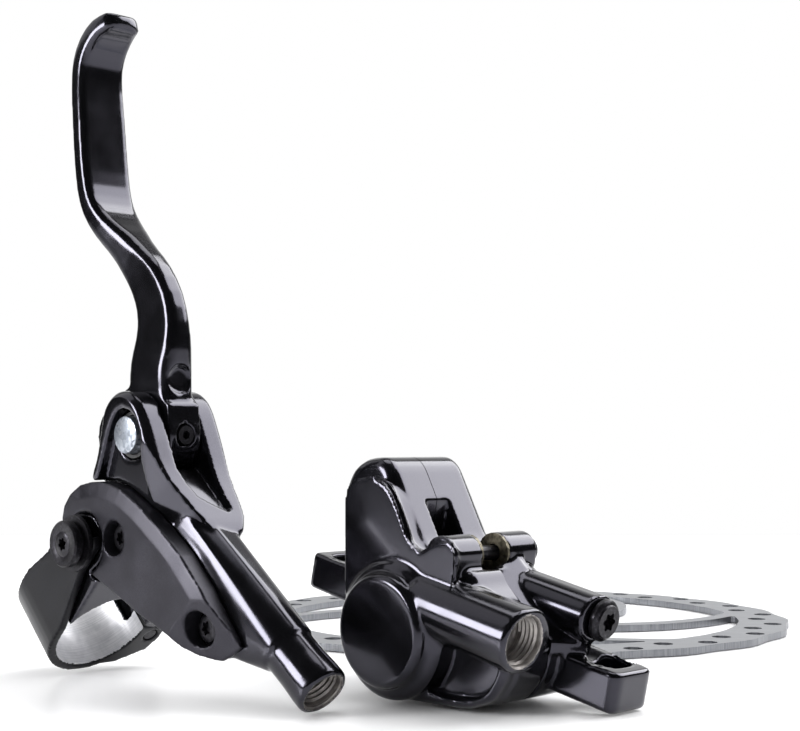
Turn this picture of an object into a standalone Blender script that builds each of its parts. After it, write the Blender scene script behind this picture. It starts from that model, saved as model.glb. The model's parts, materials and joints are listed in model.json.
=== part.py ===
"""Hydraulic disc brake for a bicycle, as laid out on a table before it is fitted.

Three groups stand on one floor: the brake lever with its master cylinder and bar clamp,
the two-piece post-mount caliper with its pads, and the rotor. The hose between lever and
caliper is not fitted. Lengths below are millimetres and angles are degrees.
"""
import math

import bmesh
import bpy
from mathutils import Matrix, Vector

MM = 0.001
FIT = 0.3                     # gap kept between neighbouring pieces
ROUND = 28                    # facets round an ordinary cylinder
WELD = 0.004                  # corners closer than this are one corner

# How the three groups stand on the floor
LEVER_AT = (-84.65, -59.0, 14.51)      # middle of the bar clamp
LEVER_TURN = 43.6                      # lever plane, turned from the +X axis
LEVER_DIP = 45.0                       # bar axis, below the floor's plane
LEVER_LEAN = 0.8                       # lever plane, off the vertical
CALIPER_AT = (-6.61, -87.53, 14.47)    # middle between the pistons
CALIPER_TURN = 43.8
CALIPER_DIP = 12.7
ROTOR_AT = (17.1, 39.6, 0.0)
ROTOR_TURN = 11.0

# Lever group: x runs along the handlebar, y forward of it, z out of the lever's plane
BAR_RADIUS = 11.1
CLAMP_MIDDLE = -1.75
CLAMP_WIDTH = 17.5
CLAMP_WALL = 2.0
CLAMP_BOLT = (CLAMP_MIDDLE, 21.2)
CLAMP_BOLT_RADIUS = 2.5
CLAMP_BOLT_HEAD = 5.0
CLAMP_BOLT_HEAD_HEIGHT = 2.6
CLAMP_BOLT_LENGTH = 17.0
CLAMP_EAR_RADIUS = 6.2
CLAMP_WASHER = 0.8
CLAMP_HINGE = (-3.6, -15.0)            # y and z of the hinge pin
CLAMP_HINGE_RADIUS = 3.2
CLAMP_HINGE_PIN = 1.5
CLAMP_TONGUE = 6.6                     # width of the body's hinge tongue

CYLINDER_ANGLE = 8.5                   # cylinder axis, turned off the handlebar's
PORT_CENTRE = (61.6, 46.9)
CYLINDER_LENGTH = 61.0
CYLINDER_BORE = 4.2
CYLINDER_BORE_DEPTH = 42.0
BARREL_RADIUS = 5.3
SHOULDER_RADIUS = 5.75
NOSE_RADIUS = 5.5
HOSE_SOCKET_RADIUS = 4.2
HOSE_SOCKET_DEPTH = 9.0
HOSE_PASSAGE_RADIUS = 1.2

PIVOT = (-8.9, 46.8)
PIVOT_PIN_RADIUS = 4.0
BUSH_WALL = 0.7
EAR_INNER = 4.5
EAR_OUTER = 10.3
EAR_RECESS = 2.4
TRUNNION_RADIUS = 2.4
LEVER_SWING = 20.0                     # how far the blade can be pulled
FORK_FLOOR = 28.5
FORK_END = 0.6

TUB_BOTTOM = -8.5
TUB_TOP = 6.3
TUB_WALL = 2.2
COVER_THICKNESS = 4.7
COVER_CHAMFER = 3.2
COVER_EDGE = 3.9                       # height of the cover's square edge
COVER_SCREWS = ((4.8, 29.6), (35.7, 36.6))
COVER_SLOPE = (31.0, 0.3)              # where the cover starts to fall away to the nose, and how fast
SCREW_SEAT = (2.0, 3.7)                # counterbore: depth of the head below the face, and radius
COVER_SCREW_SHANK = 1.4
COVER_SCREW_HEAD = 3.0
COVER_SCREW_LENGTH = 9.0
COVER_SCREW_HEAD_HEIGHT = 1.5
BLADDER_WALL = 0.8

PISTON_START = 3.0                     # from the bore's mouth
PISTON_LENGTH = 18.0
PUSH_ROD_RADIUS = 1.5
CIRCLIP_AT = 1.2
CIRCLIP_WIDTH = 1.0
SPRING_WIRE = 0.45
SPRING_TURNS = 6

# Cover outline, seen from outside: along the bar's side, then back along the top edge.
COVER_LOWER = ((44.8, 41.2), (44.4, 38.6), (43.2, 35.4), (41.4, 33.8), (38.4, 31.7), (35.0, 30.1),
               (31.2, 29.1), (26.4, 27.0), (21.6, 24.7), (16.6, 22.8), (12.0, 20.9), (7.2, 19.0))
COVER_BACK = ((-9.8, 17.4), (-11.4, 18.6), (-12.9, 21.2), (-13.1, 24.6))
COVER_UPPER = ((-12.3, 28.1), (-10.1, 31.3), (-7.6, 34.0), (-4.7, 36.2), (-1.5, 38.0), (2.1, 39.3),
               (6.0, 40.4), (9.9, 41.2), (13.9, 42.0), (17.8, 42.7), (22.0, 43.2), (30.9, 43.2),
               (37.3, 42.4), (42.4, 42.0))
EAR_OUTLINE = ((21.8, 41.0), (21.0, 46.8), (18.0, 47.6), (13.6, 48.0), (7.5, 48.7), (3.6, 49.6),
               (-0.4, 51.2), (-3.8, 52.6), (-8.0, 54.2), (-10.9, 54.8), (-14.2, 54.2), (-17.2, 52.0),
               (-18.8, 48.8), (-18.6, 45.0), (-17.0, 42.4), (-14.8, 38.8), (-13.0, 35.6), (-11.6, 31.0),
               (-1.0, 29.0), (12.0, 31.0))
# What is taken off the fork's two faces where they run together at the nose side: x and z.
NEAR_TAPER = ((-3.4, 10.4), (1.0, 9.4), (6.0, 8.0), (9.6, 6.7), (14.6, 5.0), (19.4, 2.8), (22.0, 0.3),
              (26.0, 0.3), (26.0, 12.0), (-3.4, 12.0))
FAR_TAPER = ((-3.4, 10.4), (1.0, 9.6), (6.0, 8.8), (12.0, 8.2), (16.0, 7.4), (19.4, 5.8), (22.0, 2.6),
             (26.0, 2.6), (26.0, 12.0), (-3.4, 12.0))
EAR_PANEL = ((-8.2, 31.0), (2.0, 31.0), (8.6, 39.0), (4.4, 42.6), (0.6, 45.0), (-3.0, 48.4),
             (-5.6, 50.9), (-9.4, 51.7), (-13.2, 50.8), (-14.6, 47.8), (-13.6, 43.6), (-10.6, 37.0))
# The open valley between the ears: its floor's line in x and y, and its plan in x and z.
VALLEY_FLOOR = ((0.0, 46.0), (16.0, 47.0), (17.0, 58.0), (0.0, 58.0))
VALLEY_PLAN = ((-3.0, 6.2), (6.0, 3.7), (10.6, 2.2), (14.8, -3.4), (14.4, -6.2), (-3.0, -6.2))
# Deck between the cover and the cylinder, then the shoulder down to the nose: x, y and z.
DECK = ((13.0, 41.6, 6.2), (42.6, 41.6, 6.2), (45.6, 40.8, 6.0), (45.0, 37.6, 5.6), (43.0, 35.8, 5.0),
        (43.0, 35.8, -5.0), (45.0, 41.0, -7.0), (13.0, 41.6, -8.0), (13.0, 30.0, -8.0), (13.0, 30.0, 5.0),
        (13.0, 45.6, 5.4), (13.0, 46.9, 2.0), (13.0, 46.2, -3.0), (20.0, 47.2, 2.4), (26.0, 47.2, 0.5),
        (25.0, 46.2, -3.0), (30.0, 47.6, 2.4), (30.0, 47.4, -2.8), (39.0, 48.7, 2.2), (39.0, 48.3, -2.2))
DECK_END = 49.5                        # where the shoulder has run out into the nose

# Blade, from the fork to the hook: x, y, thickness in the lever's plane, width along the pivot.
BLADE = ((-13.0, 50.6, 13.6, 8.3), (-16.4, 53.4, 14.0, 8.4), (-19.6, 56.8, 13.8, 8.4),
         (-22.2, 60.4, 13.4, 7.2), (-25.4, 63.6, 12.8, 6.0), (-29.8, 66.4, 11.8, 5.7),
         (-35.4, 67.9, 10.4, 5.9), (-41.2, 68.2, 8.8, 6.8), (-47.2, 68.3, 7.2, 8.8),
         (-52.8, 68.1, 6.0, 10.9), (-58.4, 68.7, 5.1, 12.2), (-63.4, 71.0, 4.6, 12.7),
         (-69.6, 75.6, 4.4, 12.8), (-76.0, 80.9, 4.4, 12.6), (-81.4, 85.4, 4.5, 12.2),
         (-85.2, 89.6, 4.7, 11.8), (-86.7, 94.2, 4.8, 11.4), (-86.3, 98.6, 4.6, 10.6),
         (-84.6, 102.0, 4.0, 9.0))
BLADE_TAIL = ((-16.2, 38.9), 7.3)      # the cam behind the pivot: middle and radius
BLADE_KNUCKLE = 8.2                    # radius of the blade's eye round the pivot
GRUB_SCREW_RADIUS = 2.0
GRUB_SCREW_LENGTH = 4.0
DIMPLE_RADIUS = 3.0

# Caliper group: x runs along the mount, y up off it, z towards the hose side
POST_SPACING = 74.0
FOOT_END = 6.7                         # slot's middle to the foot's end
FOOT_TOP = 3.2
FOOT_BOTTOM = -4.9
FOOT_NEAR = -4.2
FOOT_FAR = -16.9
FOOT_SLOT = (3.4, 9.6)                 # half width, and length along z
FOOT_SEAT = 1.2

ROTOR_RADIUS = 80.0
ROTOR_THICKNESS = 1.8
ROTOR_EDGE = 8.5                       # rotor's rim, above the pistons' axis
ROTOR_CLEARANCE = 0.8
PAD_GAP = 0.4
FRICTION_THICKNESS = 2.4
BACKING_THICKNESS = 1.8

PISTON_RADIUS = 9.0
PISTON_HEIGHT = 7.6
PISTON_WALL = 1.8
SEAL_HEIGHT = 2.0
SEAL_WIDTH = 1.2
BORE_END = 15.4                        # closed end of each piston bore, from the rotor's plane
CAP_RADIUS = 11.0
CAP_FACE = 18.1
BOSS_RADIUS = 14.1
BOSS_FACE = 15.0
INNER_CAP_FACE = 17.4

SEAM = 0.15                            # half the joint gap between the two halves
ARCH_NEAR = 10.5
ARCH_FAR = -12.5
PANEL_FACE = 14.0
LOWER_FACE = 12.5
POCKET_DEPTH = 2.4

HOSE_TUBE = (7.2, 11.05, 6.3)          # y, z and radius
HOSE_TUBE_END = 31.5
CALIPER_SOCKET_RADIUS = 5.0
CALIPER_SOCKET_DEPTH = 10.0
BLEED_TUBE = (10.8, -8.5, 4.7)
BLEED_TUBE_END = 33.8
BLEED_HEAD = (4.2, 2.0)                # radius and height
BLEED_SHANK = (2.6, 8.0)

PAD_PIN = (8.4, 17.5)
PAD_PIN_RADIUS = 1.5
PIN_BOSS_RADIUS = 4.1
PIN_BOSS_INNER = 5.6
TAB_ROOM = 4.7                         # half the opening round the pads' tabs
PIN_BOSS_NEAR = 12.4
PIN_BOSS_FAR = -13.2
WINDOW = (-5.7, 1.0, 5.0)              # from x, to x, and half width
BODY_BOLTS = ((-15.6, 22.4), (20.0, 8.8))
CROSSOVER = (-16.2, 14.6)
BODY_BOLT_RADIUS = 1.9
BODY_BOLT_HEAD = (3.3, 3.0)
BODY_BOLT_REACH = 4.6                  # thread in the outer half

ARCH = ((-12.0, -13.6), (0.0, -14.5), (21.0, -9.8), (27.0, -6.5), (29.5, -1.0), (29.5, 4.4),
        (28.0, 6.0), (16.0, 13.6), (14.6, 15.6), (7.0, 16.4), (3.6, 16.8), (0.4, 18.0),
        (-10.8, 31.2), (-13.6, 32.5), (-18.8, 31.0), (-22.0, 28.0), (-23.2, 23.4), (-20.7, 12.8),
        (-18.3, 2.5), (-16.0, -5.0))
PANEL = ((-14.4, 6.1), (-15.6, 11.5), (-18.2, 22.8), (-17.9, 25.2), (-16.1, 26.8), (-10.6, 28.0),
         (-8.2, 27.4), (-6.0, 25.6), (-2.8, 21.6), (0.1, 17.8), (2.8, 16.5), (5.0, 17.2),
         (7.3, 19.2), (10.8, 20.4), (12.4, 19.4), (12.9, 14.0), (13.0, 6.0), (0.0, 3.0), (-13.9, 3.0))
LOWER = ((0.0, -14.3), (21.0, -9.7), (26.6, -6.4), (29.2, -1.0), (29.2, 3.0), (0.0, 3.0))
POCKET = ((9.4, -9.0), (15.8, -9.2), (22.4, -7.2), (25.6, -4.8), (27.2, -1.0), (27.2, 3.0), (9.0, 4.6),
          (10.8, -2.0))
# The bleed tube's fairing, as sections along x of y and z.
FAIRING = ((12.0, ((15.0, -1.0), (15.0, -6.0), (15.0, -8.5), (14.0, -12.0), (4.0, -12.4), (3.0, -1.0))),
           (18.0, ((11.8, -1.0), (14.2, -5.6), (15.0, -8.5), (13.8, -11.6), (3.0, -12.4), (2.0, -1.0))),
           (24.0, ((9.2, -1.0), (13.0, -5.2), (14.8, -8.5), (13.6, -11.6), (3.4, -12.2), (2.4, -2.4))),
           (32.4, ((7.4, -3.2), (11.6, -5.0), (14.5, -8.5), (13.2, -11.6), (6.8, -11.6), (6.4, -6.0))))

# Rotor
BAND_INNER = 66.0
WAVES = 20
WAVE_DEPTH = 1.3
VENTS = 40
VENT_RADIUS = 2.6
HUB_OUTER = 27.0
HUB_INNER = 17.5
ARMS = 6
ARM_WIDTH = 8.0
ARM_SWEEP = 52.0
ROTOR_BOLT_CIRCLE = 22.0
ROTOR_BOLT_HOLE = 2.7

SOOT = (0.012, 0.012, 0.014)
FINISHES = {
    "black_lacquer": (SOOT, 0.18, 0.0),
    "black_anodised": ((0.02, 0.02, 0.023), 0.35, 0.6),
    "graphite_paint": ((0.06, 0.06, 0.068), 0.5, 0.2),
    "zinc": ((0.55, 0.56, 0.58), 0.35, 1.0),
    "black_oxide": ((0.03, 0.03, 0.032), 0.38, 0.8),
    "bright_steel": ((0.6, 0.6, 0.6), 0.28, 1.0),
    "rotor_steel": ((0.42, 0.42, 0.42), 0.32, 1.0),
    "pad_plating": ((0.62, 0.52, 0.36), 0.4, 0.8),
    "friction": ((0.16, 0.13, 0.11), 0.85, 0.0),
    "rubber": ((0.02, 0.02, 0.02), 0.7, 0.0),
    "phenolic": ((0.05, 0.045, 0.04), 0.5, 0.0),
    "bush_polymer": ((0.05, 0.05, 0.05), 0.5, 0.0),
    "bare_aluminium": ((0.72, 0.72, 0.73), 0.3, 1.0),
}


# Meshes
def mesh_object(name, bm):
    """Closes a bmesh into an object with its faces turned outward."""
    bmesh.ops.recalc_face_normals(bm, faces=bm.faces)
    mesh = bpy.data.meshes.new(name)
    bm.to_mesh(mesh)
    bm.free()
    obj = bpy.data.objects.new(name, mesh)
    bpy.context.scene.collection.objects.link(obj)
    return obj


def loft(name, loops):
    """Skins a row of equal loops of points, and closes both ends."""
    bm = bmesh.new()
    rings = [[bm.verts.new(Vector(p) * MM) for p in loop] for loop in loops]
    count = len(rings[0])
    for near, far in zip(rings, rings[1:]):
        for i in range(count):
            j = (i + 1) % count
            bm.faces.new((near[i], near[j], far[j], far[i]))
    bm.faces.new(rings[0])
    bm.faces.new(rings[-1])
    return mesh_object(name, bm)


def prism(name, outline, low, high):
    """A flat outline in x and y, raised from z = low to z = high."""
    return loft(name, [[(x, y, z) for x, y in outline] for z in (low, high)])


def block(name, low, high):
    """A box between two corners."""
    outline = ((low[0], low[1]), (high[0], low[1]), (high[0], high[1]), (low[0], high[1]))
    return prism(name, outline, low[2], high[2])


def lathe(name, profile, at=(0, 0, 0), axis=(0, 0, 1), facets=ROUND):
    """Turns a profile of (radius, height) about an axis; radius 0 closes an end."""
    turn = Vector((0, 0, 1)).rotation_difference(Vector(axis)).to_matrix()
    centre = Vector(at)
    bm = bmesh.new()
    rings = []
    for radius, height in profile:
        steps = facets if radius > 0 else 1
        ring = []
        for i in range(steps):
            angle = 2 * math.pi * i / facets
            point = Vector((radius * math.cos(angle), radius * math.sin(angle), height))
            ring.append(bm.verts.new((centre + turn @ point) * MM))
        rings.append(ring)
    pairs = list(zip(rings, rings[1:]))
    if profile[0][0] > 0 and profile[-1][0] > 0:
        pairs.append((rings[-1], rings[0]))
    for near, far in pairs:
        for i in range(facets):
            corners = []
            for ring, index in ((near, i), (near, i + 1), (far, i + 1), (far, i)):
                vert = ring[index % len(ring)]
                if vert not in corners:
                    corners.append(vert)
            if len(corners) > 2:
                bm.faces.new(corners)
    return mesh_object(name, bm)


def rod(name, radius, start, end, facets=ROUND):
    """A plain round bar between two points."""
    way = Vector(end) - Vector(start)
    profile = ((0, 0), (radius, 0), (radius, way.length), (0, way.length))
    return lathe(name, profile, start, way.normalized(), facets)


def ring(name, inner, outer, start, end, facets=ROUND):
    """A plain tube between two points."""
    way = Vector(end) - Vector(start)
    profile = ((inner, 0), (outer, 0), (outer, way.length), (inner, way.length))
    return lathe(name, profile, start, way.normalized(), facets)


def bake(obj):
    """Replaces the mesh by what its modifiers make of it."""
    graph = bpy.context.evaluated_depsgraph_get()
    mesh = bpy.data.meshes.new_from_object(obj.evaluated_get(graph))
    bm = bmesh.new()
    bm.from_mesh(mesh)
    bmesh.ops.remove_doubles(bm, verts=bm.verts, dist=WELD * MM)
    bmesh.ops.dissolve_degenerate(bm, edges=bm.edges, dist=WELD * MM)
    bm.to_mesh(mesh)
    bm.free()
    obj.modifiers.clear()
    old = obj.data
    obj.data = mesh
    bpy.data.meshes.remove(old)


def combine(obj, tools, operation):
    """Joins or cuts one solid with others, which are used up."""
    for tool in tools:
        step = obj.modifiers.new(operation.lower(), "BOOLEAN")
        step.operation = operation
        step.solver = "EXACT"
        step.object = tool
        bake(obj)
        bpy.data.objects.remove(tool)
    return obj


def join(obj, *tools):
    return combine(obj, tools, "UNION")


def cut(obj, *tools):
    return combine(obj, tools, "DIFFERENCE")


def offset(outline, distance):
    """Moves each side of a counter-clockwise outline outward by a distance."""
    points = [Vector(p) for p in outline]
    moved = []
    for i, point in enumerate(points):
        before = (point - points[i - 1]).normalized()
        after = (points[(i + 1) % len(points)] - point).normalized()
        normal = Vector((before.y + after.y, -before.x - after.x)).normalized()
        stretch = max(0.5, normal.dot(Vector((before.y, -before.x))))
        moved.append(tuple(point + normal * distance / stretch))
    return moved


def rounded(outline, reach, steps=3):
    """Rounds every corner of an outline off, starting at a distance from the corner."""
    points = [Vector(p) for p in outline]
    result = []
    for i, point in enumerate(points):
        back = points[i - 1] - point
        ahead = points[(i + 1) % len(points)] - point
        length = min(reach, back.length * 0.45, ahead.length * 0.45)
        start = point + back.normalized() * length
        end = point + ahead.normalized() * length
        for step in range(steps + 1):
            t = step / steps
            result.append(tuple((1 - t) ** 2 * start + 2 * t * (1 - t) * point + t * t * end))
    return result


def drawn_in(outline, draw, reach=1.6):
    """An outline moved inward by a distance, with its corners rounded off."""
    return rounded(offset(outline, -draw), reach, 2)


def arc(centre, radius, first, last, steps):
    """Points along an arc, in degrees."""
    points = []
    for i in range(steps + 1):
        angle = math.radians(first + (last - first) * i / steps)
        points.append((centre[0] + radius * math.cos(angle), centre[1] + radius * math.sin(angle)))
    return points


def smooth_path(stations, steps):
    """A curve through the stations, with the given number of steps between each two."""
    rows = [Vector(s) for s in stations]
    ends = [2 * rows[0] - rows[1]] + rows + [2 * rows[-1] - rows[-2]]
    path = []
    for a, b, c, d in zip(ends, ends[1:], ends[2:], ends[3:]):
        for i in range(steps):
            t = i / steps
            path.append(0.5 * (2 * b + (c - a) * t + (2 * a - 5 * b + 4 * c - d) * t ** 2
                               + (3 * b - a - 3 * c + d) * t ** 3))
    path.append(rows[-1])
    return path


# Placing
def finish_material(kind):
    material = bpy.data.materials.new(kind)
    material.use_nodes = True
    shader = material.node_tree.nodes["Principled BSDF"]
    colour, roughness, metallic = FINISHES[kind]
    shader.inputs["Base Color"].default_value = (*colour, 1.0)
    shader.inputs["Roughness"].default_value = roughness
    shader.inputs["Metallic"].default_value = metallic
    return material


def frame_empty(name, at, turn, dip, lean):
    """The frame of a group: x dips below the floor's plane, and z points at the viewer's left."""
    empty = bpy.data.objects.new(name, None)
    bpy.context.scene.collection.objects.link(empty)
    place = Matrix.Translation(Vector(at) * MM)
    place @= Matrix.Rotation(math.radians(-turn), 4, "Z")
    place @= Matrix.Rotation(math.radians(90 + lean), 4, "X")
    place @= Matrix.Rotation(math.radians(-dip), 4, "Z")
    empty.matrix_world = place
    return empty


def dress(obj, kind, parent, origin=(0, 0, 0)):
    """Gives a piece its finish and its group, with its own origin on its joint's axis."""
    obj.data.materials.clear()
    obj.data.materials.append(finish_material(kind))
    obj.data.shade_smooth()
    obj.data.set_sharp_from_angle(angle=math.radians(32))
    obj.data.transform(Matrix.Translation(-Vector(origin) * MM))
    obj.location = Vector(origin) * MM
    obj.parent = parent
    return obj


# Master cylinder body
def along_bore(distance, side=0.0):
    """A point on the cylinder's axis, measured from the bore's mouth, moved across it by side."""
    angle = math.radians(CYLINDER_ANGLE)
    way = Vector((math.cos(angle), math.sin(angle), 0))
    end = Vector((*PORT_CENTRE, 0))
    return tuple(end + way * (distance - CYLINDER_LENGTH) + Vector((-way.y, way.x, 0)) * side)


def bore_way():
    angle = math.radians(CYLINDER_ANGLE)
    return (math.cos(angle), math.sin(angle), 0.0)


def trunnion_place():
    """The trunnion lies on the cylinder's axis, and its arm is square to it half way through the swing."""
    way = Vector(bore_way())
    mouth = Vector(along_bore(0))
    pivot = Vector((*PIVOT, 0))
    foot = mouth + way * (pivot - mouth).dot(way)
    reach = (foot - pivot).length * math.tan(math.radians(LEVER_SWING / 2))
    return tuple(foot - way * reach)


def cover_outline():
    """The cover's edge, counter-clockwise, with the notch round the clamp bolt's ear."""
    notch = arc(CLAMP_BOLT, CLAMP_EAR_RADIUS + FIT, -34, 190, 16)
    return list(COVER_UPPER[::-1]) + list(COVER_BACK[::-1]) + notch[::-1] + list(COVER_LOWER[::-1])


def band_outline():
    """Clamp body and band share this: x is the y of the group, and y its z."""
    return CLAMP_MIDDLE - CLAMP_WIDTH / 2, CLAMP_MIDDLE + CLAMP_WIDTH / 2


def across_bar(name, outline, start, end):
    """An outline in the bar's cross section (y, z), raised along x."""
    return loft(name, [[(x, y, z) for y, z in outline] for x in (start, end)])


def barrel():
    end = CYLINDER_LENGTH
    profile = ((0, -1), (BARREL_RADIUS + 0.6, -1), (BARREL_RADIUS + 0.6, 8), (BARREL_RADIUS, 16),
               (BARREL_RADIUS, end - 7), (NOSE_RADIUS, end - 3), (NOSE_RADIUS, end - 0.5),
               (NOSE_RADIUS - 0.5, end), (0, end))
    return lathe("barrel", profile, along_bore(0), bore_way(), 36)


def tub():
    outline = list(COVER_UPPER[::-1]) + list(COVER_BACK[::-1]) + list(COVER_LOWER[::-1])
    low = offset(outline, -2.6)
    middle = offset(outline, -0.4)
    return loft("master_cylinder_body", [[(x, y, TUB_BOTTOM) for x, y in low],
                        [(x, y, TUB_BOTTOM + 4.0) for x, y in middle],
                        [(x, y, TUB_TOP) for x, y in offset(outline, -0.2)]])


def fork():
    """Both ears as one block; the slot between them is cut afterwards."""
    outline = drawn_in(EAR_OUTLINE, 0)
    inner = drawn_in(EAR_OUTLINE, 1.2)
    levels = ((-EAR_OUTER, inner), (-EAR_OUTER + 1.2, outline), (EAR_OUTER - 1.2, outline),
              (EAR_OUTER, inner))
    ears = loft("fork", [[(x, y, z) for x, y in shape] for z, shape in levels])
    for side, taper in ((1, NEAR_TAPER), (-1, FAR_TAPER)):
        cut(ears, loft("taper", [[(x, y, side * z) for x, z in taper] for y in (20, 60)]))
    return ears


def deck():
    """The body's smooth top beside the cover, with the shoulder down to the nose."""
    end = CYLINDER_LENGTH - (PORT_CENTRE[0] - DECK_END)
    bm = bmesh.new()
    corners = [Vector(p) for p in DECK]
    for distance, radius in ((14.0, BARREL_RADIUS), (end, SHOULDER_RADIUS)):
        centre = Vector(along_bore(distance))
        across = Vector((-bore_way()[1], bore_way()[0], 0))
        for i in range(ROUND):
            angle = 2 * math.pi * i / ROUND
            spoke = across * math.cos(angle) + Vector((0, 0, 1)) * math.sin(angle)
            corners.append(centre + spoke * (radius - 0.01))
    for corner in corners:
        bm.verts.new(corner * MM)
    hull = bmesh.ops.convex_hull(bm, input=bm.verts)
    bmesh.ops.delete(bm, geom=hull["geom_interior"], context="VERTS")
    return mesh_object("deck", bm)


def saddle():
    """The half of the clamp that is cast on the body, square behind and flat under the strap."""
    top = BAR_RADIUS - FIT
    outline = ((0.6, -13.5), (3.0, -14.2), (12.0, -13.2), (19.0, -9.0), (22.0, -2.0), (22.5, top - 0.4),
               (18.0, top), (4.0, top), (0.6, 8.0))
    start, end = band_outline()
    return across_bar("saddle", outline, start, end)


def hinge_tongue():
    y, z = CLAMP_HINGE
    start = CLAMP_MIDDLE - CLAMP_TONGUE / 2
    end = CLAMP_MIDDLE + CLAMP_TONGUE / 2
    eye = rod("eye", CLAMP_HINGE_RADIUS, (start, y, z), (end, y, z), 24)
    neck = across_bar("neck", ((y + 1.0, z + CLAMP_HINGE_RADIUS), (y + 1.0, z - 2.4), (1.6, z + 0.2),
                               (1.6, z + CLAMP_HINGE_RADIUS + 1.0)), start, end)
    return join(eye, neck)


def reservoir_cavity(draw):
    """The tub's hollow, drawn in by a distance; it is kept clear of the bolt and the bore."""
    hollow = ((7.0, 21.4), (13.4, 23.0), (19.6, 25.4), (25.4, 28.2), (29.4, 31.0), (29.4, 34.2),
              (8.0, 34.2), (6.2, 31.4))
    return rounded(offset(hollow, -draw), 1.5, 2)


def master_cylinder_body(frame):
    body = tub()
    boss = rod("boss", CLAMP_EAR_RADIUS, (*CLAMP_BOLT, -5.0), (*CLAMP_BOLT, BAR_RADIUS - FIT), 28)
    join(body, barrel(), deck(), fork(), saddle(), boss, hinge_tongue())
    # Everything above the tub's rim clears the cover.
    clearance = prism("cover room", offset(cover_outline(), FIT), TUB_TOP, TUB_TOP + 9)
    cut(body, clearance)
    cut(body, prism("hollow", reservoir_cavity(0), TUB_BOTTOM + TUB_WALL, TUB_TOP + 1))
    start, end = band_outline()
    cut(body, rod("bar", BAR_RADIUS, (start - 1, 0, 0), (end + 1, 0, 0), 64))
    cut(body, block("slot", (-34, FORK_FLOOR, -EAR_INNER), (FORK_END, 62, EAR_INNER)))
    cut(body, valley())
    bore = ((0, -3), (CYLINDER_BORE + 0.6, -3), (CYLINDER_BORE + 0.6, 0.6), (CYLINDER_BORE, 1.0),
            (CYLINDER_BORE, CYLINDER_BORE_DEPTH), (0, CYLINDER_BORE_DEPTH + 2.4))
    cut(body, lathe("bore", bore, along_bore(0), bore_way()))
    groove = ring("groove", CYLINDER_BORE - 1, CYLINDER_BORE + 0.5, along_bore(CIRCLIP_AT - FIT / 2),
                  along_bore(CIRCLIP_AT + CIRCLIP_WIDTH + FIT / 2))
    cut(body, groove)
    cut(body, rod("passage", HOSE_PASSAGE_RADIUS, along_bore(CYLINDER_BORE_DEPTH),
                  along_bore(CYLINDER_LENGTH - HOSE_SOCKET_DEPTH + 1), 12))
    socket = ((0, 0.0), (HOSE_SOCKET_RADIUS - 1.4, 1.6), (HOSE_SOCKET_RADIUS - 1.4, 3.0),
              (HOSE_SOCKET_RADIUS, 3.0), (HOSE_SOCKET_RADIUS, HOSE_SOCKET_DEPTH + 2),
              (0, HOSE_SOCKET_DEPTH + 2))
    cut(body, lathe("socket", socket, along_bore(CYLINDER_LENGTH - HOSE_SOCKET_DEPTH - 1), bore_way()))
    pin_hole = PIVOT_PIN_RADIUS + FIT + BUSH_WALL + FIT
    cut(body, rod("pin hole", pin_hole, (*PIVOT, -20), (*PIVOT, 20)))
    for side in (-1, 1):
        cut(body, ear_recess(side))
    cut(body, rod("bolt hole", CLAMP_BOLT_RADIUS + FIT,
                  (*CLAMP_BOLT, BAR_RADIUS - CLAMP_BOLT_LENGTH - 1), (*CLAMP_BOLT, 20), 24))
    for x, y in COVER_SCREWS:
        cut(body, rod("screw hole", COVER_SCREW_SHANK + FIT, (x, y, TUB_TOP - COVER_SCREW_LENGTH),
                      (x, y, TUB_TOP + 2), 14))
    y, z = CLAMP_HINGE
    cut(body, rod("hinge hole", CLAMP_HINGE_PIN + FIT, (-20, y, z), (20, y, z), 20))
    return dress(body, "black_lacquer", frame)


def valley():
    """The room over the cylinder between the ears, which run together towards the nose."""
    room = prism("valley", VALLEY_FLOOR, -EAR_INNER, EAR_INNER)
    plan = loft("plan", [[(x, y, z) for x, z in VALLEY_PLAN] for y in (40, 62)])
    return combine(room, (plan,), "INTERSECT")


def ear_recess(side):
    """The sunk panel round the pin on the outside of an ear."""
    low, high = sorted((side * (EAR_OUTER - EAR_RECESS), side * 14))
    return prism("recess", rounded(EAR_PANEL, 1.6, 2), low, high)


def reservoir_cover(frame):
    outline = cover_outline()
    top = TUB_TOP + FIT + COVER_THICKNESS
    inset = []
    upper = set(COVER_UPPER)
    for point, wide, narrow in zip(outline, offset(outline, -COVER_CHAMFER), offset(outline, -0.4)):
        inset.append(wide if point in upper and point[0] < 36 else narrow)
    low = TUB_TOP + FIT
    cover = loft("reservoir_cover", [[(x, y, low) for x, y in outline],
                                     [(x, y, low + COVER_EDGE) for x, y in outline],
                                     [(x, y, top) for x, y in inset]])
    start, slope = COVER_SLOPE
    fall = slope * (60 - start)
    cut(cover, loft("slope", [((start, y, top), (60, y, top - fall), (60, y, top + 2), (start, y, top + 2))
                              for y in (20, 60)]))
    for x, y in COVER_SCREWS:
        cut(cover, rod("hole", COVER_SCREW_SHANK + FIT, (x, y, low - 2), (x, y, top + 2), 14))
        cut(cover, rod("seat", SCREW_SEAT[1], (x, y, screw_seat(x)), (x, y, top + 2), 28))
    return dress(cover, "graphite_paint", frame)


def screw_seat(x):
    """Height of the counterbore's floor, below the face that falls away towards the nose."""
    start, slope = COVER_SLOPE
    face = TUB_TOP + FIT + COVER_THICKNESS - slope * max(0, x - start)
    return face - SCREW_SEAT[0] - COVER_SCREW_HEAD_HEIGHT


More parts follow.
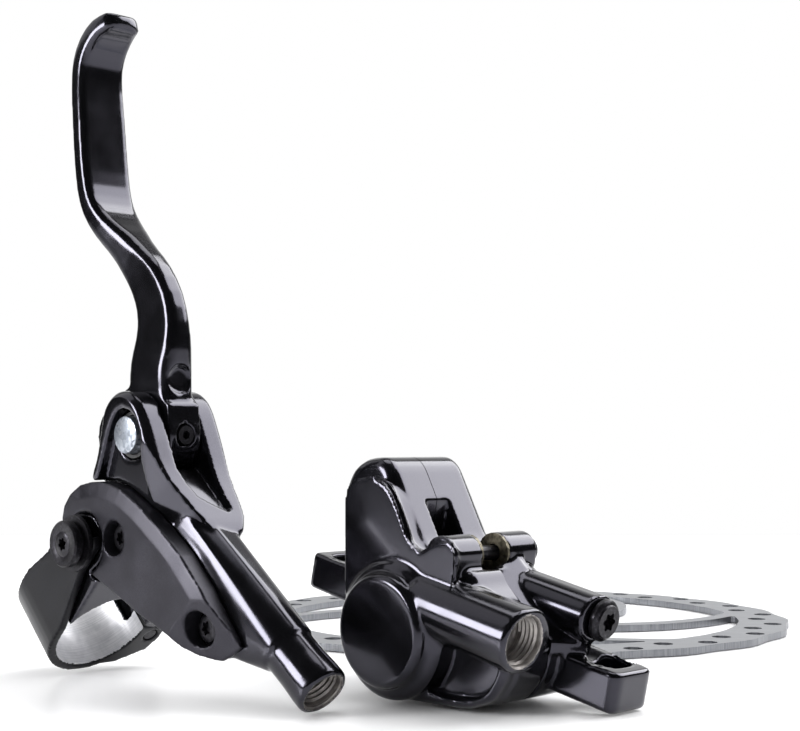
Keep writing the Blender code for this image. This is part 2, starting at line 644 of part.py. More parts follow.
def cover_screw(name, place, frame):
    x, y = place
    seat = screw_seat(x) + 0.05
    shank = rod(name, COVER_SCREW_SHANK, (x, y, seat - COVER_SCREW_LENGTH), (x, y, seat + 0.4), 14)
    high = COVER_SCREW_HEAD_HEIGHT
    head = ((0, 0), (COVER_SCREW_HEAD - 0.3, 0), (COVER_SCREW_HEAD, 0.3), (COVER_SCREW_HEAD, high - 0.6),
            (COVER_SCREW_HEAD - 0.6, high), (0, high))
    join(shank, lathe("head", head, (x, y, seat), facets=24))
    cut(shank, star_socket((x, y, seat + high - 1.0), (0, 0, 1), 1.3, 3))
    return dress(shank, "black_oxide", frame)


def star_socket(at, axis, radius, depth):
    """A six-lobed drive socket."""
    points = []
    for i in range(24):
        angle = 2 * math.pi * i / 24
        reach = radius * (1.0 + 0.16 * math.cos(6 * angle))
        points.append((reach * math.cos(angle), reach * math.sin(angle)))
    tool = prism("star", points, 0, depth)
    turn = Vector((0, 0, 1)).rotation_difference(Vector(axis)).to_matrix().to_4x4()
    tool.data.transform(Matrix.Translation(Vector(at) * MM) @ turn)
    return tool


def reservoir_bladder(frame):
    """Rubber diaphragm that closes the tub under the cover, dished into the fluid."""
    outline = reservoir_cavity(0.4)
    deep = reservoir_cavity(1.2)
    top = TUB_TOP - 0.4
    bladder = loft("reservoir_bladder", [[(x, y, top - 5.0) for x, y in deep],
                                         [(x, y, top) for x, y in outline]])
    inside = reservoir_cavity(1.2 + BLADDER_WALL)
    rim = reservoir_cavity(0.4 + BLADDER_WALL)
    cut(bladder, loft("inside", [[(x, y, top - 5.0 + BLADDER_WALL) for x, y in inside],
                                 [(x, y, top + 1) for x, y in rim]]))
    return dress(bladder, "rubber", frame)


# Inside the cylinder
def master_piston(frame):
    radius = CYLINDER_BORE - FIT
    neck = radius - 1.2
    start = PISTON_START
    end = PISTON_START + PISTON_LENGTH
    profile = ((0, start + 2.2), (PUSH_ROD_RADIUS + FIT, start), (radius, start), (radius, start + 2),
               (neck, start + 2), (neck, start + 4), (radius, start + 4), (radius, start + 5),
               (neck, start + 6), (neck, end - 5), (radius, end - 4), (radius, end - 3.4),
               (neck, end - 3.4), (neck, end - 1.4), (radius, end - 1.4), (radius, end), (0, end))
    piston = lathe("master_piston", profile, along_bore(0), bore_way())
    return dress(piston, "bare_aluminium", frame, along_bore(PISTON_START))


def piston_seal(name, start, frame):
    inner = CYLINDER_BORE - FIT - 1.2 + 0.1
    seal = ring(name, inner, CYLINDER_BORE - 0.12, along_bore(start + 0.1), along_bore(start + 1.9), 28)
    return dress(seal, "rubber", frame, along_bore(PISTON_START))


def push_rod(frame):
    """Rod from the trunnion to the piston's cup, with a ball end."""
    place = Vector(trunnion_place())
    back = (place - Vector(along_bore(0))).dot(Vector(bore_way()))
    tip = PISTON_START + 0.6
    profile = ((0, back - 1.2), (PUSH_ROD_RADIUS, back - 1.2), (PUSH_ROD_RADIUS, tip - 0.5),
               (0.8, tip + 0.4), (0, tip + 0.5))
    stem = lathe("push_rod", profile, along_bore(0), bore_way(), 20)
    return dress(stem, "bright_steel", frame, along_bore(PISTON_START))


def piston_circlip(frame):
    outer = CYLINDER_BORE + 0.3
    clip = ring("piston_circlip", outer - 1.6, outer, along_bore(CIRCLIP_AT),
                along_bore(CIRCLIP_AT + CIRCLIP_WIDTH), 28)
    x, y, _ = along_bore(CIRCLIP_AT - 1)
    gap = block("gap", (x - 2, y - 9, -1.0), (x + 5, y - 1.5, 1.0))
    cut(clip, gap)
    return dress(clip, "bright_steel", frame)


def return_spring(frame):
    """Coil between the piston and the closed end of the bore."""
    start = PISTON_START + PISTON_LENGTH + 0.3
    length = CYLINDER_BORE_DEPTH - start - 0.4
    radius = CYLINDER_BORE - SPRING_WIRE - 0.5
    per_turn, wire_facets = 10, 5
    way = Vector(bore_way())
    across = Vector((-way.y, way.x, 0))
    up = Vector((0, 0, 1))
    loops = []
    steps = SPRING_TURNS * per_turn
    for i in range(steps + 1):
        angle = 2 * math.pi * i / per_turn
        run = SPRING_WIRE + (length - 2 * SPRING_WIRE) * i / steps
        out = across * math.cos(angle) + up * math.sin(angle)
        centre = Vector(along_bore(start + run)) + out * radius
        loop = []
        for k in range(wire_facets):
            turn = 2 * math.pi * k / wire_facets
            loop.append(centre + (out * math.cos(turn) + way * math.sin(turn)) * SPRING_WIRE)
        loops.append(loop)
    return dress(loft("return_spring", loops), "bright_steel", frame, along_bore(start))


# Lever blade
def blade_loops():
    """Cross sections of the blade: flat oblongs with rounded edges, square to its curve."""
    rows = smooth_path(BLADE, 2)
    loops = []
    for i, row in enumerate(rows):
        before = rows[max(i - 1, 0)]
        after = rows[min(i + 1, len(rows) - 1)]
        way = Vector((after.x - before.x, after.y - before.y, 0)).normalized()
        across = Vector((way.y, -way.x, 0))
        thick, wide = row.z / 2, row.w / 2
        corner = min(thick, wide) * 0.55
        loop = []
        for sx, sz, first in ((1, 1, 0), (-1, 1, 90), (-1, -1, 180), (1, -1, 270)):
            for step in range(4):
                angle = math.radians(first + 30 * step)
                reach = sx * (thick - corner) + corner * math.cos(angle)
                height = sz * (wide - corner) + corner * math.sin(angle)
                loop.append(Vector((row.x, row.y, 0)) + across * reach + Vector((0, 0, height)))
        loops.append(loop)
    tip = loops[-1]
    middle = sum(tip, Vector()) / len(tip)
    way = Vector((rows[-1].x - rows[-2].x, rows[-1].y - rows[-2].y, 0)).normalized()
    loops.append([middle + (p - middle) * 0.72 + way * 1.0 for p in tip])
    loops.append([middle + (p - middle) * 0.3 + way * 1.5 for p in tip])
    return loops


def front_way():
    """The direction that the blade's front face looks in, beside the fork."""
    return Vector((0.72, 0.69, 0)).normalized()


def lever_blade(frame):
    blade = loft("lever_blade", blade_loops())
    wide = EAR_INNER - FIT
    centre, radius = BLADE_TAIL
    eye = rod("eye", BLADE_KNUCKLE, (*PIVOT, -wide), (*PIVOT, wide), 36)
    tail = rod("tail", radius, (*centre, -wide), (*centre, wide), 32)
    web = prism("web", ((-23.4, 39.6), (-21.9, 46.6), (-19.0, 55.0), (-8.0, 56.6), (-4.0, 53.0),
                        (-7.0, 39.0), (-9.4, 35.6), (-14.0, 32.0))[::-1], -wide, wide)
    join(blade, eye, tail, web)
    cut(blade, rod("pin", PIVOT_PIN_RADIUS + FIT, (*PIVOT, -20), (*PIVOT, 20)))
    place = trunnion_place()
    cut(blade, rod("trunnion", TRUNNION_RADIUS + FIT, (*place[:2], -20), (*place[:2], 20), 24))
    slot = PUSH_ROD_RADIUS + 0.7
    cut(blade, block("rod slot", (place[0] - 2.5, place[1] - 3.6, -slot), (2.0, place[1] + 4.2, slot)))
    front = front_way()
    pivot = Vector((*PIVOT, 0))
    reach = PIVOT_PIN_RADIUS + FIT
    cut(blade, rod("grub", GRUB_SCREW_RADIUS + FIT, pivot + front * (reach - 1), pivot + front * 14, 20))
    dimple = Vector((-12.6, 59.6, 0))
    cut(blade, rod("dimple", DIMPLE_RADIUS, dimple - front * 0.9, dimple + front * 4, 24))
    return dress(blade, "black_lacquer", frame, (*PIVOT, 0))


def pivot_pin(frame):
    end = EAR_OUTER - 0.2
    profile = ((0, -end), (PIVOT_PIN_RADIUS - 0.4, -end), (PIVOT_PIN_RADIUS, -end + 0.4),
               (PIVOT_PIN_RADIUS, end - 0.4), (PIVOT_PIN_RADIUS - 0.4, end), (0, end))
    return dress(lathe("pivot_pin", profile, (*PIVOT, 0)), "zinc", frame, (*PIVOT, 0))


def pivot_bush(name, side, frame):
    inner = PIVOT_PIN_RADIUS + FIT
    near, far = side * (EAR_INNER + 0.2), side * (EAR_OUTER - EAR_RECESS - 0.1)
    bush = ring(name, inner, inner + BUSH_WALL, (*PIVOT, min(near, far)), (*PIVOT, max(near, far)))
    return dress(bush, "bush_polymer", frame)


def trunnion(frame):
    """Cross barrel in the blade's tail that takes the push rod."""
    x, y, _ = trunnion_place()
    wide = EAR_INNER - FIT - 0.3
    nut = rod("push_rod_barrel", TRUNNION_RADIUS, (x, y, -wide), (x, y, wide), 24)
    way = Vector(bore_way())
    middle = Vector((x, y, 0))
    cut(nut, rod("hole", PUSH_ROD_RADIUS + FIT, middle - way * 5, middle + way * 5, 16))
    return dress(nut, "zinc", frame, along_bore(PISTON_START))


def pivot_grub_screw(frame):
    front = front_way()
    start = Vector((*PIVOT, 0)) + front * (PIVOT_PIN_RADIUS + 0.15)
    screw = rod("pivot_grub_screw", GRUB_SCREW_RADIUS, start, start + front * GRUB_SCREW_LENGTH, 20)
    cut(screw, rod("hex", 1.0, start + front * (GRUB_SCREW_LENGTH - 1.6), start + front * 9, 6))
    return dress(screw, "black_oxide", frame, (*PIVOT, 0))


# Bar clamp
def clamp_band(frame):
    """Strap from the bolt's ear round the bar to the hinge cheeks."""
    start, end = band_outline()
    outer = BAR_RADIUS + CLAMP_WALL
    y, z = CLAMP_HINGE
    lug = CLAMP_HINGE_RADIUS
    outline = [(0.2, -BAR_RADIUS + 1.4), (y + 2.6, z - lug + 0.2), (y - 1.0, z - lug), (-8.8, -16.4),
               (-12.2, -8.8)]
    outline += arc((0, 0), outer, 202, 98, 14)
    ear_y = CLAMP_BOLT[1]
    outline += [(0.0, outer), (ear_y, outer), (ear_y, BAR_RADIUS), (0.0, BAR_RADIUS)]
    outline += arc((0, 0), BAR_RADIUS, 98, 262, 28)
    band = across_bar("clamp_band", outline, start, end)
    ear = rod("ear", CLAMP_EAR_RADIUS, (*CLAMP_BOLT, BAR_RADIUS), (*CLAMP_BOLT, outer), 32)
    join(band, ear)
    # The strap narrows towards the ear.
    reach = CLAMP_EAR_RADIUS - 1.3
    for sign in (-1, 1):
        edge = CLAMP_MIDDLE + sign * CLAMP_WIDTH / 2
        corner = CLAMP_MIDDLE + sign * reach
        outline = [(edge + sign * 1, 3.0), (edge + sign * 1, 40.0), (corner + sign * 0.05, 40.0),
                   (corner + sign * 0.05, ear_y - 4.0), (edge, 3.0)]
        cut(band, prism("side", outline if sign > 0 else outline[::-1], BAR_RADIUS - 3, outer + 3))
    # An open slot lets the ear leave the bolt once the bolt is slack.
    slot = CLAMP_BOLT_RADIUS + FIT + 0.1
    x = CLAMP_BOLT[0]
    cut(band, block("ear slot", (x - slot, ear_y, 5), (x + slot, ear_y + 12, 20)))
    cut(band, rod("ear slot end", slot, (*CLAMP_BOLT, 5), (*CLAMP_BOLT, 20), 24))
    wide = CLAMP_TONGUE / 2 + FIT
    room = CLAMP_HINGE_RADIUS + 2 * FIT
    cut(band, rod("tongue room", room, (CLAMP_MIDDLE - wide, y, z), (CLAMP_MIDDLE + wide, y, z), 28))
    cut(band, block("tongue path", (CLAMP_MIDDLE - wide, y, -22), (CLAMP_MIDDLE + wide, 6, -8)))
    cut(band, rod("hinge hole", CLAMP_HINGE_PIN + FIT, (-20, y, z), (20, y, z), 20))
    return dress(band, "black_anodised", frame, (CLAMP_MIDDLE, y, z))


def clamp_hinge_pin(frame):
    y, z = CLAMP_HINGE
    half = CLAMP_WIDTH / 2 - 0.3
    start, end = CLAMP_MIDDLE - half, CLAMP_MIDDLE + half
    pin = rod("clamp_hinge_pin", CLAMP_HINGE_PIN, (start, y, z), (end, y, z), 20)
    return dress(pin, "bright_steel", frame)


def clamp_bolt(frame):
    seat = BAR_RADIUS + CLAMP_WALL + FIT + CLAMP_WASHER
    x, y = CLAMP_BOLT
    top = seat + CLAMP_BOLT_HEAD_HEIGHT
    tip = BAR_RADIUS - CLAMP_BOLT_LENGTH + 0.5
    neck = CLAMP_BOLT_HEAD - 0.7
    profile = ((0, tip), (CLAMP_BOLT_RADIUS - 0.6, tip), (CLAMP_BOLT_RADIUS, tip + 0.6),
               (CLAMP_BOLT_RADIUS, seat), (neck, seat), (neck, seat + 0.7), (CLAMP_BOLT_HEAD, seat + 0.9),
               (CLAMP_BOLT_HEAD, top - 0.3), (CLAMP_BOLT_HEAD - 0.3, top), (0, top))
    bolt = lathe("clamp_bolt", profile, (x, y, 0))
    cut(bolt, star_socket((x, y, top - 1.6), (0, 0, 1), 1.25, 3))
    return dress(bolt, "black_oxide", frame, (x, y, seat))


def clamp_washer(frame):
    seat = BAR_RADIUS + CLAMP_WALL + 0.15
    x, y = CLAMP_BOLT
    washer = ring("clamp_washer", CLAMP_BOLT_RADIUS + FIT, CLAMP_EAR_RADIUS - 0.1, (x, y, seat),
                  (x, y, seat + CLAMP_WASHER))
    return dress(washer, "black_oxide", frame, (x, y, seat))


# Caliper
def pad_pocket_half():
    return ROTOR_THICKNESS / 2 + PAD_GAP + FRICTION_THICKNESS + BACKING_THICKNESS + FIT


def bore_start():
    return pad_pocket_half()


def rotor_room(half_gap):
    """The space swept by the rotor between the halves."""
    centre = (0, ROTOR_EDGE - ROTOR_RADIUS, 0)
    reach = ROTOR_RADIUS + 1.0
    room = rod("rotor room", reach, (centre[0], centre[1], -half_gap), (centre[0], centre[1], half_gap), 160)
    return room


def piston_bore(side):
    """Blind bore from the pad pocket, with the square seal's groove, for one side."""
    start, end = bore_start() - 1, BORE_END
    radius = PISTON_RADIUS + FIT
    seal = bore_start() + 2.2
    profile = ((0, start), (radius, start), (radius, seal), (radius + SEAL_WIDTH, seal),
               (radius + SEAL_WIDTH, seal + SEAL_HEIGHT + 0.2), (radius, seal + SEAL_HEIGHT + 0.2),
               (radius, end - 0.8), (radius - 0.8, end), (0, end))
    return lathe("piston bore", profile, (0, 0, 0), (0, 0, side), 40)


def piston_boss(side, face):
    """The round boss over a piston, stepped up to its flat cap."""
    step = face - (CAP_FACE - BOSS_FACE)
    profile = ((0, 3.0), (BOSS_RADIUS, 3.0), (BOSS_RADIUS, step - 1.0), (BOSS_RADIUS - 1.0, step),
               (CAP_RADIUS + 1.3, step + 0.2), (CAP_RADIUS + 0.6, step + 0.9),
               (CAP_RADIUS + 0.4, face - 0.9), (CAP_RADIUS - 0.5, face), (0, face))
    return lathe("piston boss", profile, (0, 0, 0), (0, 0, side), 44)


def caliper_cuts(half):
    """What both halves share: rotor and pad room, pad tabs, window and pin."""
    cut(half, rotor_room(ROTOR_THICKNESS / 2 + ROTOR_CLEARANCE))
    deep = pad_pocket_half()
    cut(half, block("pad room", (-12.4, -20, -deep), (12.4, ROTOR_EDGE + 1.4, deep)))
    tab = PIN_BOSS_INNER
    x = PAD_PIN[0]
    cut(half, block("tab room", (x - TAB_ROOM, ROTOR_EDGE, -tab), (x + TAB_ROOM, 30, tab)))
    start, end, wide = WINDOW
    cut(half, block("window", (start, ROTOR_EDGE, -wide), (end, 40, wide)))
    cut(half, rod("pin hole", PAD_PIN_RADIUS + FIT, (*PAD_PIN, -20), (*PAD_PIN, PIN_BOSS_NEAR - 1.4), 20))
    cut(half, rod("seal pocket", 2.5, (*CROSSOVER, -0.9), (*CROSSOVER, 0.9), 20))
    cut(half, rod("passage", 0.8, (*CROSSOVER, -6), (*CROSSOVER, 6), 10))


def panel_levels(outline, low, high, draw):
    """A raised panel whose outer edge is rounded off; low and high are along z."""
    inward = 1 if low < high else -1
    levels = ((low, 0), (high - inward * draw, 0), (high - inward * draw * 0.3, draw * 0.3), (high, draw))
    return [[(x, y, z) for x, y in drawn_in(outline, step)] for z, step in levels]


def arch_levels(seam, side):
    """The body's arch from the seam out to one side, with its edge rounded off."""
    return panel_levels(ARCH, seam, side, 2.0)


def pin_boss(near, far):
    x, y = PAD_PIN
    foot = 12.0
    outline = [(x - PIN_BOSS_RADIUS, foot), (x + PIN_BOSS_RADIUS, foot)]
    outline += arc((x, y), PIN_BOSS_RADIUS, 0, 180, 12)
    return prism("pin boss", outline, near, far)


def caliper_outer_half(frame):
    """Half with the hose port, cast with its piston boss, side panel and lower pocket."""
    half = loft("caliper_outer_half", arch_levels(SEAM, ARCH_NEAR))
    panel = loft("panel", panel_levels(PANEL, 4.0, PANEL_FACE, 1.2))
    lower = loft("lower", panel_levels(LOWER, 3.0, LOWER_FACE, 1.2))
    y, z, radius = HOSE_TUBE
    end = HOSE_TUBE_END
    tube_profile = ((0, 4.0), (radius - 1.2, 4.0), (radius, 5.6), (radius, end - 0.5),
                    (radius - 0.5, end), (0, end))
    tube = lathe("tube", tube_profile, (0, y, z), (1, 0, 0), 40)
    join(half, panel, lower)
    pocket = rounded(POCKET, 1.6, 2)
    cut(half, prism("pocket", pocket, LOWER_FACE - POCKET_DEPTH, LOWER_FACE + 3))
    join(half, piston_boss(1, CAP_FACE), tube, pin_boss(PIN_BOSS_INNER, PIN_BOSS_NEAR))
    caliper_cuts(half)
    cut(half, block("seam side", (-60, -60, -40), (60, 60, SEAM)))
    cut(half, piston_bore(1))
    floor = end - CALIPER_SOCKET_DEPTH
    seat = CALIPER_SOCKET_RADIUS - 1.6
    socket = ((0, floor - 1.5), (seat, floor), (seat, end - 6.6), (CALIPER_SOCKET_RADIUS, end - 6.6),
              (CALIPER_SOCKET_RADIUS, end + 1), (0, end + 1))
    cut(half, lathe("socket", socket, (0, y, z), (1, 0, 0), 32))
    for place in BODY_BOLTS:
        cut(half, rod("thread", BODY_BOLT_RADIUS + FIT, (*place, -2), (*place, BODY_BOLT_REACH + 0.6), 18))
    return dress(half, "black_lacquer", frame)


def foot_outline(side):
    """One mount foot, seen from above, as x and z."""
    end = side * (POST_SPACING / 2 + FOOT_END)
    root = side * 14.0
    points = [(root, FOOT_NEAR), (end, FOOT_NEAR - 0.6), (end, FOOT_FAR + 1.6), (root, FOOT_FAR + 0.2)]
    if side > 0:
        points = points[::-1]
    return rounded(points, 2.0, 3)


def mount_foot(side):
    outline = foot_outline(side)
    levels = ((FOOT_BOTTOM, offset(outline, -0.4)), (FOOT_BOTTOM + 0.5, outline), (FOOT_TOP - 0.5, outline),
              (FOOT_TOP, offset(outline, -0.5)))
    foot = loft("foot", [[(x, y, z) for x, z in shape] for y, shape in levels])
    return foot


def foot_slot(side):
    half, length = FOOT_SLOT
    x = side * POST_SPACING / 2
    middle = (FOOT_NEAR + FOOT_FAR) / 2
    outline = rounded(((x - half, middle + length / 2), (x - half, middle - length / 2),
                       (x + half, middle - length / 2), (x + half, middle + length / 2)), 2.6, 3)
    return loft("slot", [[(px, y, pz) for px, pz in outline] for y in (FOOT_BOTTOM - 2, FOOT_TOP + 2)])


def foot_seat(side):
    """Milled seat on top of a foot, between the slot and the body, for the mount bolt's washer."""
    middle = (FOOT_NEAR + FOOT_FAR) / 2
    x = side * POST_SPACING / 2
    start = Vector((x - side * 3.0, FOOT_TOP - FOOT_SEAT + 5.8, middle))
    return rod("seat", 5.8, start, start - Vector((side * 8.0, 1.2, 0)), 28)


def caliper_inner_half(frame):
    """Half with the mount feet and the bleed port."""
    half = loft("caliper_inner_half", arch_levels(-SEAM, ARCH_FAR))
    y, z, radius = BLEED_TUBE
    end = BLEED_TUBE_END
    tube_profile = ((0, 18.0), (radius - 1.0, 18.0), (radius, 20.0), (radius, end - 0.4),
                    (radius - 0.4, end), (0, end))
    tube = lathe("tube", tube_profile, (0, y, z), (1, 0, 0))
    join(half, piston_boss(-1, INNER_CAP_FACE), tube, pin_boss(PIN_BOSS_FAR, -PIN_BOSS_INNER))
    fairing = loft("fairing", [[(x, y, z) for y, z in section] for x, section in FAIRING])
    join(half, fairing, mount_foot(1), mount_foot(-1))
    caliper_cuts(half)
    cut(half, block("seam side", (-60, -60, -SEAM), (60, 60, 40)))
    cut(half, piston_bore(-1))
    for side in (-1, 1):
        cut(half, foot_slot(side))
        cut(half, foot_seat(side))
    cut(half, rod("bleed hole", BLEED_SHANK[0] + FIT, (end - BLEED_SHANK[1] - 2, y, z), (end + 3, y, z), 20))
    head, height = BODY_BOLT_HEAD
    for place in BODY_BOLTS:
        cut(half, rod("clearance", BODY_BOLT_RADIUS + FIT, (*place, -20), (*place, 2), 18))
        cut(half, rod("counterbore", head + FIT, (*place, -22), (*place, ARCH_FAR + height - 0.4), 24))
    return dress(half, "black_lacquer", frame)


def body_bolt(name, place, frame):
    head, height = BODY_BOLT_HEAD
    seat = ARCH_FAR + height - 0.4 - 0.1
    x, y = place
    top = seat - height
    profile = ((0, top), (head - 0.3, top), (head, top + 0.3), (head, seat), (BODY_BOLT_RADIUS, seat),
               (BODY_BOLT_RADIUS, BODY_BOLT_REACH), (0, BODY_BOLT_REACH))
    bolt = lathe(name, profile, (x, y, 0), facets=24)
    cut(bolt, star_socket((x, y, top + 1.6), (0, 0, -1), 1.5, 4))
    return dress(bolt, "black_oxide", frame)


def crossover_seal(frame):
    """Ring that seals the fluid passage where the halves meet."""
    x, y = CROSSOVER
    seal = ring("crossover_seal", 1.2, 2.2, (x, y, -0.6), (x, y, 0.6), 20)
    return dress(seal, "rubber", frame)


def caliper_piston(name, side, frame):
    start = bore_start()
    end = start + PISTON_HEIGHT
    inner = PISTON_RADIUS - PISTON_WALL
    profile = ((0, start + 4.6), (inner, start + 4.6), (inner, start), (PISTON_RADIUS - 0.3, start),
               (PISTON_RADIUS, start + 0.3), (PISTON_RADIUS, end - 0.4), (PISTON_RADIUS - 0.4, end),
               (0, end))
    piston = lathe(name, profile, (0, 0, 0), (0, 0, side), 40)
    return dress(piston, "phenolic", frame, (0, 0, side * start))


def square_seal(name, side, frame):
    low = bore_start() + 2.3
    inner = PISTON_RADIUS + 0.12
    seal = lathe(name, ((inner, low), (PISTON_RADIUS + SEAL_WIDTH + 0.1, low),
                        (PISTON_RADIUS + SEAL_WIDTH + 0.1, low + SEAL_HEIGHT), (inner, low + SEAL_HEIGHT)),
                 (0, 0, 0), (0, 0, side), 40)
    return dress(seal, "rubber", frame)


def pad_outline(draw):
    """Pad shape under the rotor's rim, as x and y."""
    rim = ROTOR_EDGE - 0.4
    points = ((-11.6, -8.6), (11.6, -8.6), (11.6, rim), (-11.6, rim))
    return rounded(offset(points, -draw), 3.0, 3)


def backing_plate(name, side, frame):
    near = ROTOR_THICKNESS / 2 + PAD_GAP + FRICTION_THICKNESS
    far = near + BACKING_THICKNESS
    low, high = min(side * near, side * far), max(side * near, side * far)
    plate = prism(name, pad_outline(0), low, high)
    x, y = PAD_PIN
    tab = prism("tab", [(x - 4.2, 6.0), (x, 6.0)] + arc((x, y), 4.0, -55, 190, 12), low, high)
    join(plate, tab)
    cut(plate, rod("eye", PAD_PIN_RADIUS + FIT, (x, y, low - 1), (x, y, high + 1), 18))
    return dress(plate, "pad_plating", frame, (0, 0, side * far))


def friction_block(name, side, frame):
    near = ROTOR_THICKNESS / 2 + PAD_GAP
    far = near + FRICTION_THICKNESS
    outline = pad_outline(0.8)
    low, high = min(side * near, side * (far - 0.02)), max(side * near, side * (far - 0.02))
    pad = prism(name, outline, low, high)
    return dress(pad, "friction", frame, (0, 0, side * far))


def pad_spring(frame):
    """Bent strip that spreads the two backing plates, beside the pin."""
    outer = ROTOR_THICKNESS / 2 + PAD_GAP + FRICTION_THICKNESS - FIT
    thick = 0.4
    x = PAD_PIN[0]
    high = 14.6
    low = ROTOR_EDGE + 1.6
    top = [(high + math.sin(math.radians(a)) * outer * 0.4, math.cos(math.radians(a)) * outer)
           for a in range(0, 181, 20)]
    inner = outer - thick
    under = [(high - thick + math.sin(math.radians(a)) * inner * 0.4, math.cos(math.radians(a)) * inner)
             for a in range(180, -1, -20)]
    outline = [(low, outer)] + top + [(low, -outer), (low, -inner)] + under + [(low, inner)]
    strip = across_bar("pad_spring", outline, x - TAB_ROOM + 0.4, x - PAD_PIN_RADIUS - 0.4)
    return dress(strip, "pad_plating", frame)


def pad_pin(frame):
    x, y = PAD_PIN
    head = PIN_BOSS_FAR - FIT
    profile = ((0, head - 1.6), (2.6, head - 1.6), (2.9, head - 1.2), (2.9, head), (PAD_PIN_RADIUS, head),
               (PAD_PIN_RADIUS, PIN_BOSS_NEAR - 2.0), (0, PIN_BOSS_NEAR - 2.0))
    pin = lathe("pad_pin", profile, (x, y, 0), facets=20)
    cut(pin, star_socket((x, y, head - 0.6), (0, 0, -1), 1.1, 3))
    return dress(pin, "black_oxide", frame)


def bleed_screw(frame):
    y, z, _ = BLEED_TUBE
    radius, height = BLEED_HEAD
    shank, length = BLEED_SHANK
    seat = BLEED_TUBE_END + FIT
    top = seat + height
    profile = ((0, seat - length), (shank, seat - length), (shank, seat), (radius, seat),
               (radius, seat + height / 2), (radius - 0.9, top), (0, top))
    screw = lathe("bleed_screw", profile, (0, y, z), (1, 0, 0), 28)
    cut(screw, star_socket((seat + height - 1.5, y, z), (1, 0, 0), 1.7, 4))
    return dress(screw, "black_oxide", frame)


# Rotor
def wave_loop(radius, count, depth, steps):
    points = []
    for i in range(count * steps):
        angle = 2 * math.pi * i / (count * steps)
        reach = radius - depth * 0.5 * (1 - math.cos(count * angle))
        points.append((reach * math.cos(angle), reach * math.sin(angle)))
    return points


def turned_point(radius, degrees):
    angle = math.radians(degrees)
    return radius * math.cos(angle), radius * math.sin(angle)


def arm_window(index):
    """The opening between two swept arms, from the hub ring to the brake band."""
    pitch = 360 / ARMS
    inner, outer = HUB_OUTER + 0.5, BAND_INNER
    first, second = [], []
    steps = 6
    for i in range(steps + 1):
        radius = inner + (outer - inner) * i / steps
        sweep = ARM_SWEEP * (i / steps) ** 0.9
        half = math.degrees(ARM_WIDTH / 2 / radius)
        first.append(turned_point(radius, index * pitch + sweep + half))
        second.append(turned_point(radius, (index + 1) * pitch + sweep - half))
    between = []
    start = index * pitch + ARM_SWEEP + math.degrees(ARM_WIDTH / 2 / outer)
    end = (index + 1) * pitch + ARM_SWEEP - math.degrees(ARM_WIDTH / 2 / outer)
    for i in range(1, 5):
        between.append(turned_point(outer, start + (end - start) * i / 5))
    return rounded(first + between + second[::-1], 2.0, 1)


def rotor_loops():
    loops = [wave_loop(ROTOR_RADIUS, WAVES, WAVE_DEPTH, 6)]
    loops += [arm_window(i) for i in range(ARMS)]
    for i in range(VENTS):
        middle = turned_point(BAND_INNER + 5.2 + 4.0 * (i % 2), 360 * i / VENTS)
        loops.append(arc(middle, VENT_RADIUS, 0, 315, 7))
    for i in range(ARMS):
        loops.append(arc(turned_point(ROTOR_BOLT_CIRCLE, 60 * i + 30), ROTOR_BOLT_HOLE, 0, 315, 7))
    loops.append(arc((0, 0), HUB_INNER, 0, 345, 23))
    return loops


def rotor():
    """One stamped plate: wavy brake band, swept arms and hub ring."""
    bm = bmesh.new()
    edges = []
    for loop in rotor_loops():
        verts = [bm.verts.new((x * MM, y * MM, 0)) for x, y in loop]
        for i, vert in enumerate(verts):
            edges.append(bm.edges.new((vert, verts[(i + 1) % len(verts)])))
    bmesh.ops.triangle_fill(bm, use_beauty=True, use_dissolve=False, edges=edges)
    raised = bmesh.ops.extrude_face_region(bm, geom=bm.faces[:])
    top = [item for item in raised["geom"] if isinstance(item, bmesh.types.BMVert)]
    bmesh.ops.translate(bm, verts=top, vec=(0, 0, ROTOR_THICKNESS * MM))
    plate = mesh_object("rotor", bm)
    dress(plate, "rotor_steel", None)
    plate.location = Vector(ROTOR_AT) * MM
    plate.rotation_euler.z = math.radians(ROTOR_TURN)
    return plate


def clear_scene():
    for obj in list(bpy.data.objects):
        bpy.data.objects.remove(obj)


def build_lever(frame):
    master_cylinder_body(frame)
    reservoir_cover(frame)
    cover_screw("cover_screw_rear", COVER_SCREWS[0], frame)
    cover_screw("cover_screw_front", COVER_SCREWS[1], frame)
    reservoir_bladder(frame)
    master_piston(frame)
    piston_seal("secondary_seal", PISTON_START + 2, frame)
    piston_seal("primary_cup", PISTON_START + PISTON_LENGTH - 3.4, frame)
    push_rod(frame)
    piston_circlip(frame)
    return_spring(frame)
    lever_blade(frame)
    pivot_pin(frame)
    pivot_bush("pivot_bush_near", 1, frame)
    pivot_bush("pivot_bush_far", -1, frame)
    trunnion(frame)
    pivot_grub_screw(frame)
    clamp_band(frame)
    clamp_hinge_pin(frame)
    clamp_bolt(frame)
    clamp_washer(frame)


def build_caliper(frame):
    caliper_outer_half(frame)
    caliper_inner_half(frame)
    crossover_seal(frame)
    body_bolt("body_bolt_rear", BODY_BOLTS[0], frame)
    body_bolt("body_bolt_front", BODY_BOLTS[1], frame)
    for tag, side in (("outer", 1), ("inner", -1)):
        caliper_piston("piston_" + tag, side, frame)
        square_seal("piston_seal_" + tag, side, frame)
        backing_plate("backing_plate_" + tag, side, frame)
        friction_block("friction_pad_" + tag, side, frame)
    pad_spring(frame)
    pad_pin(frame)
    bleed_screw(frame)


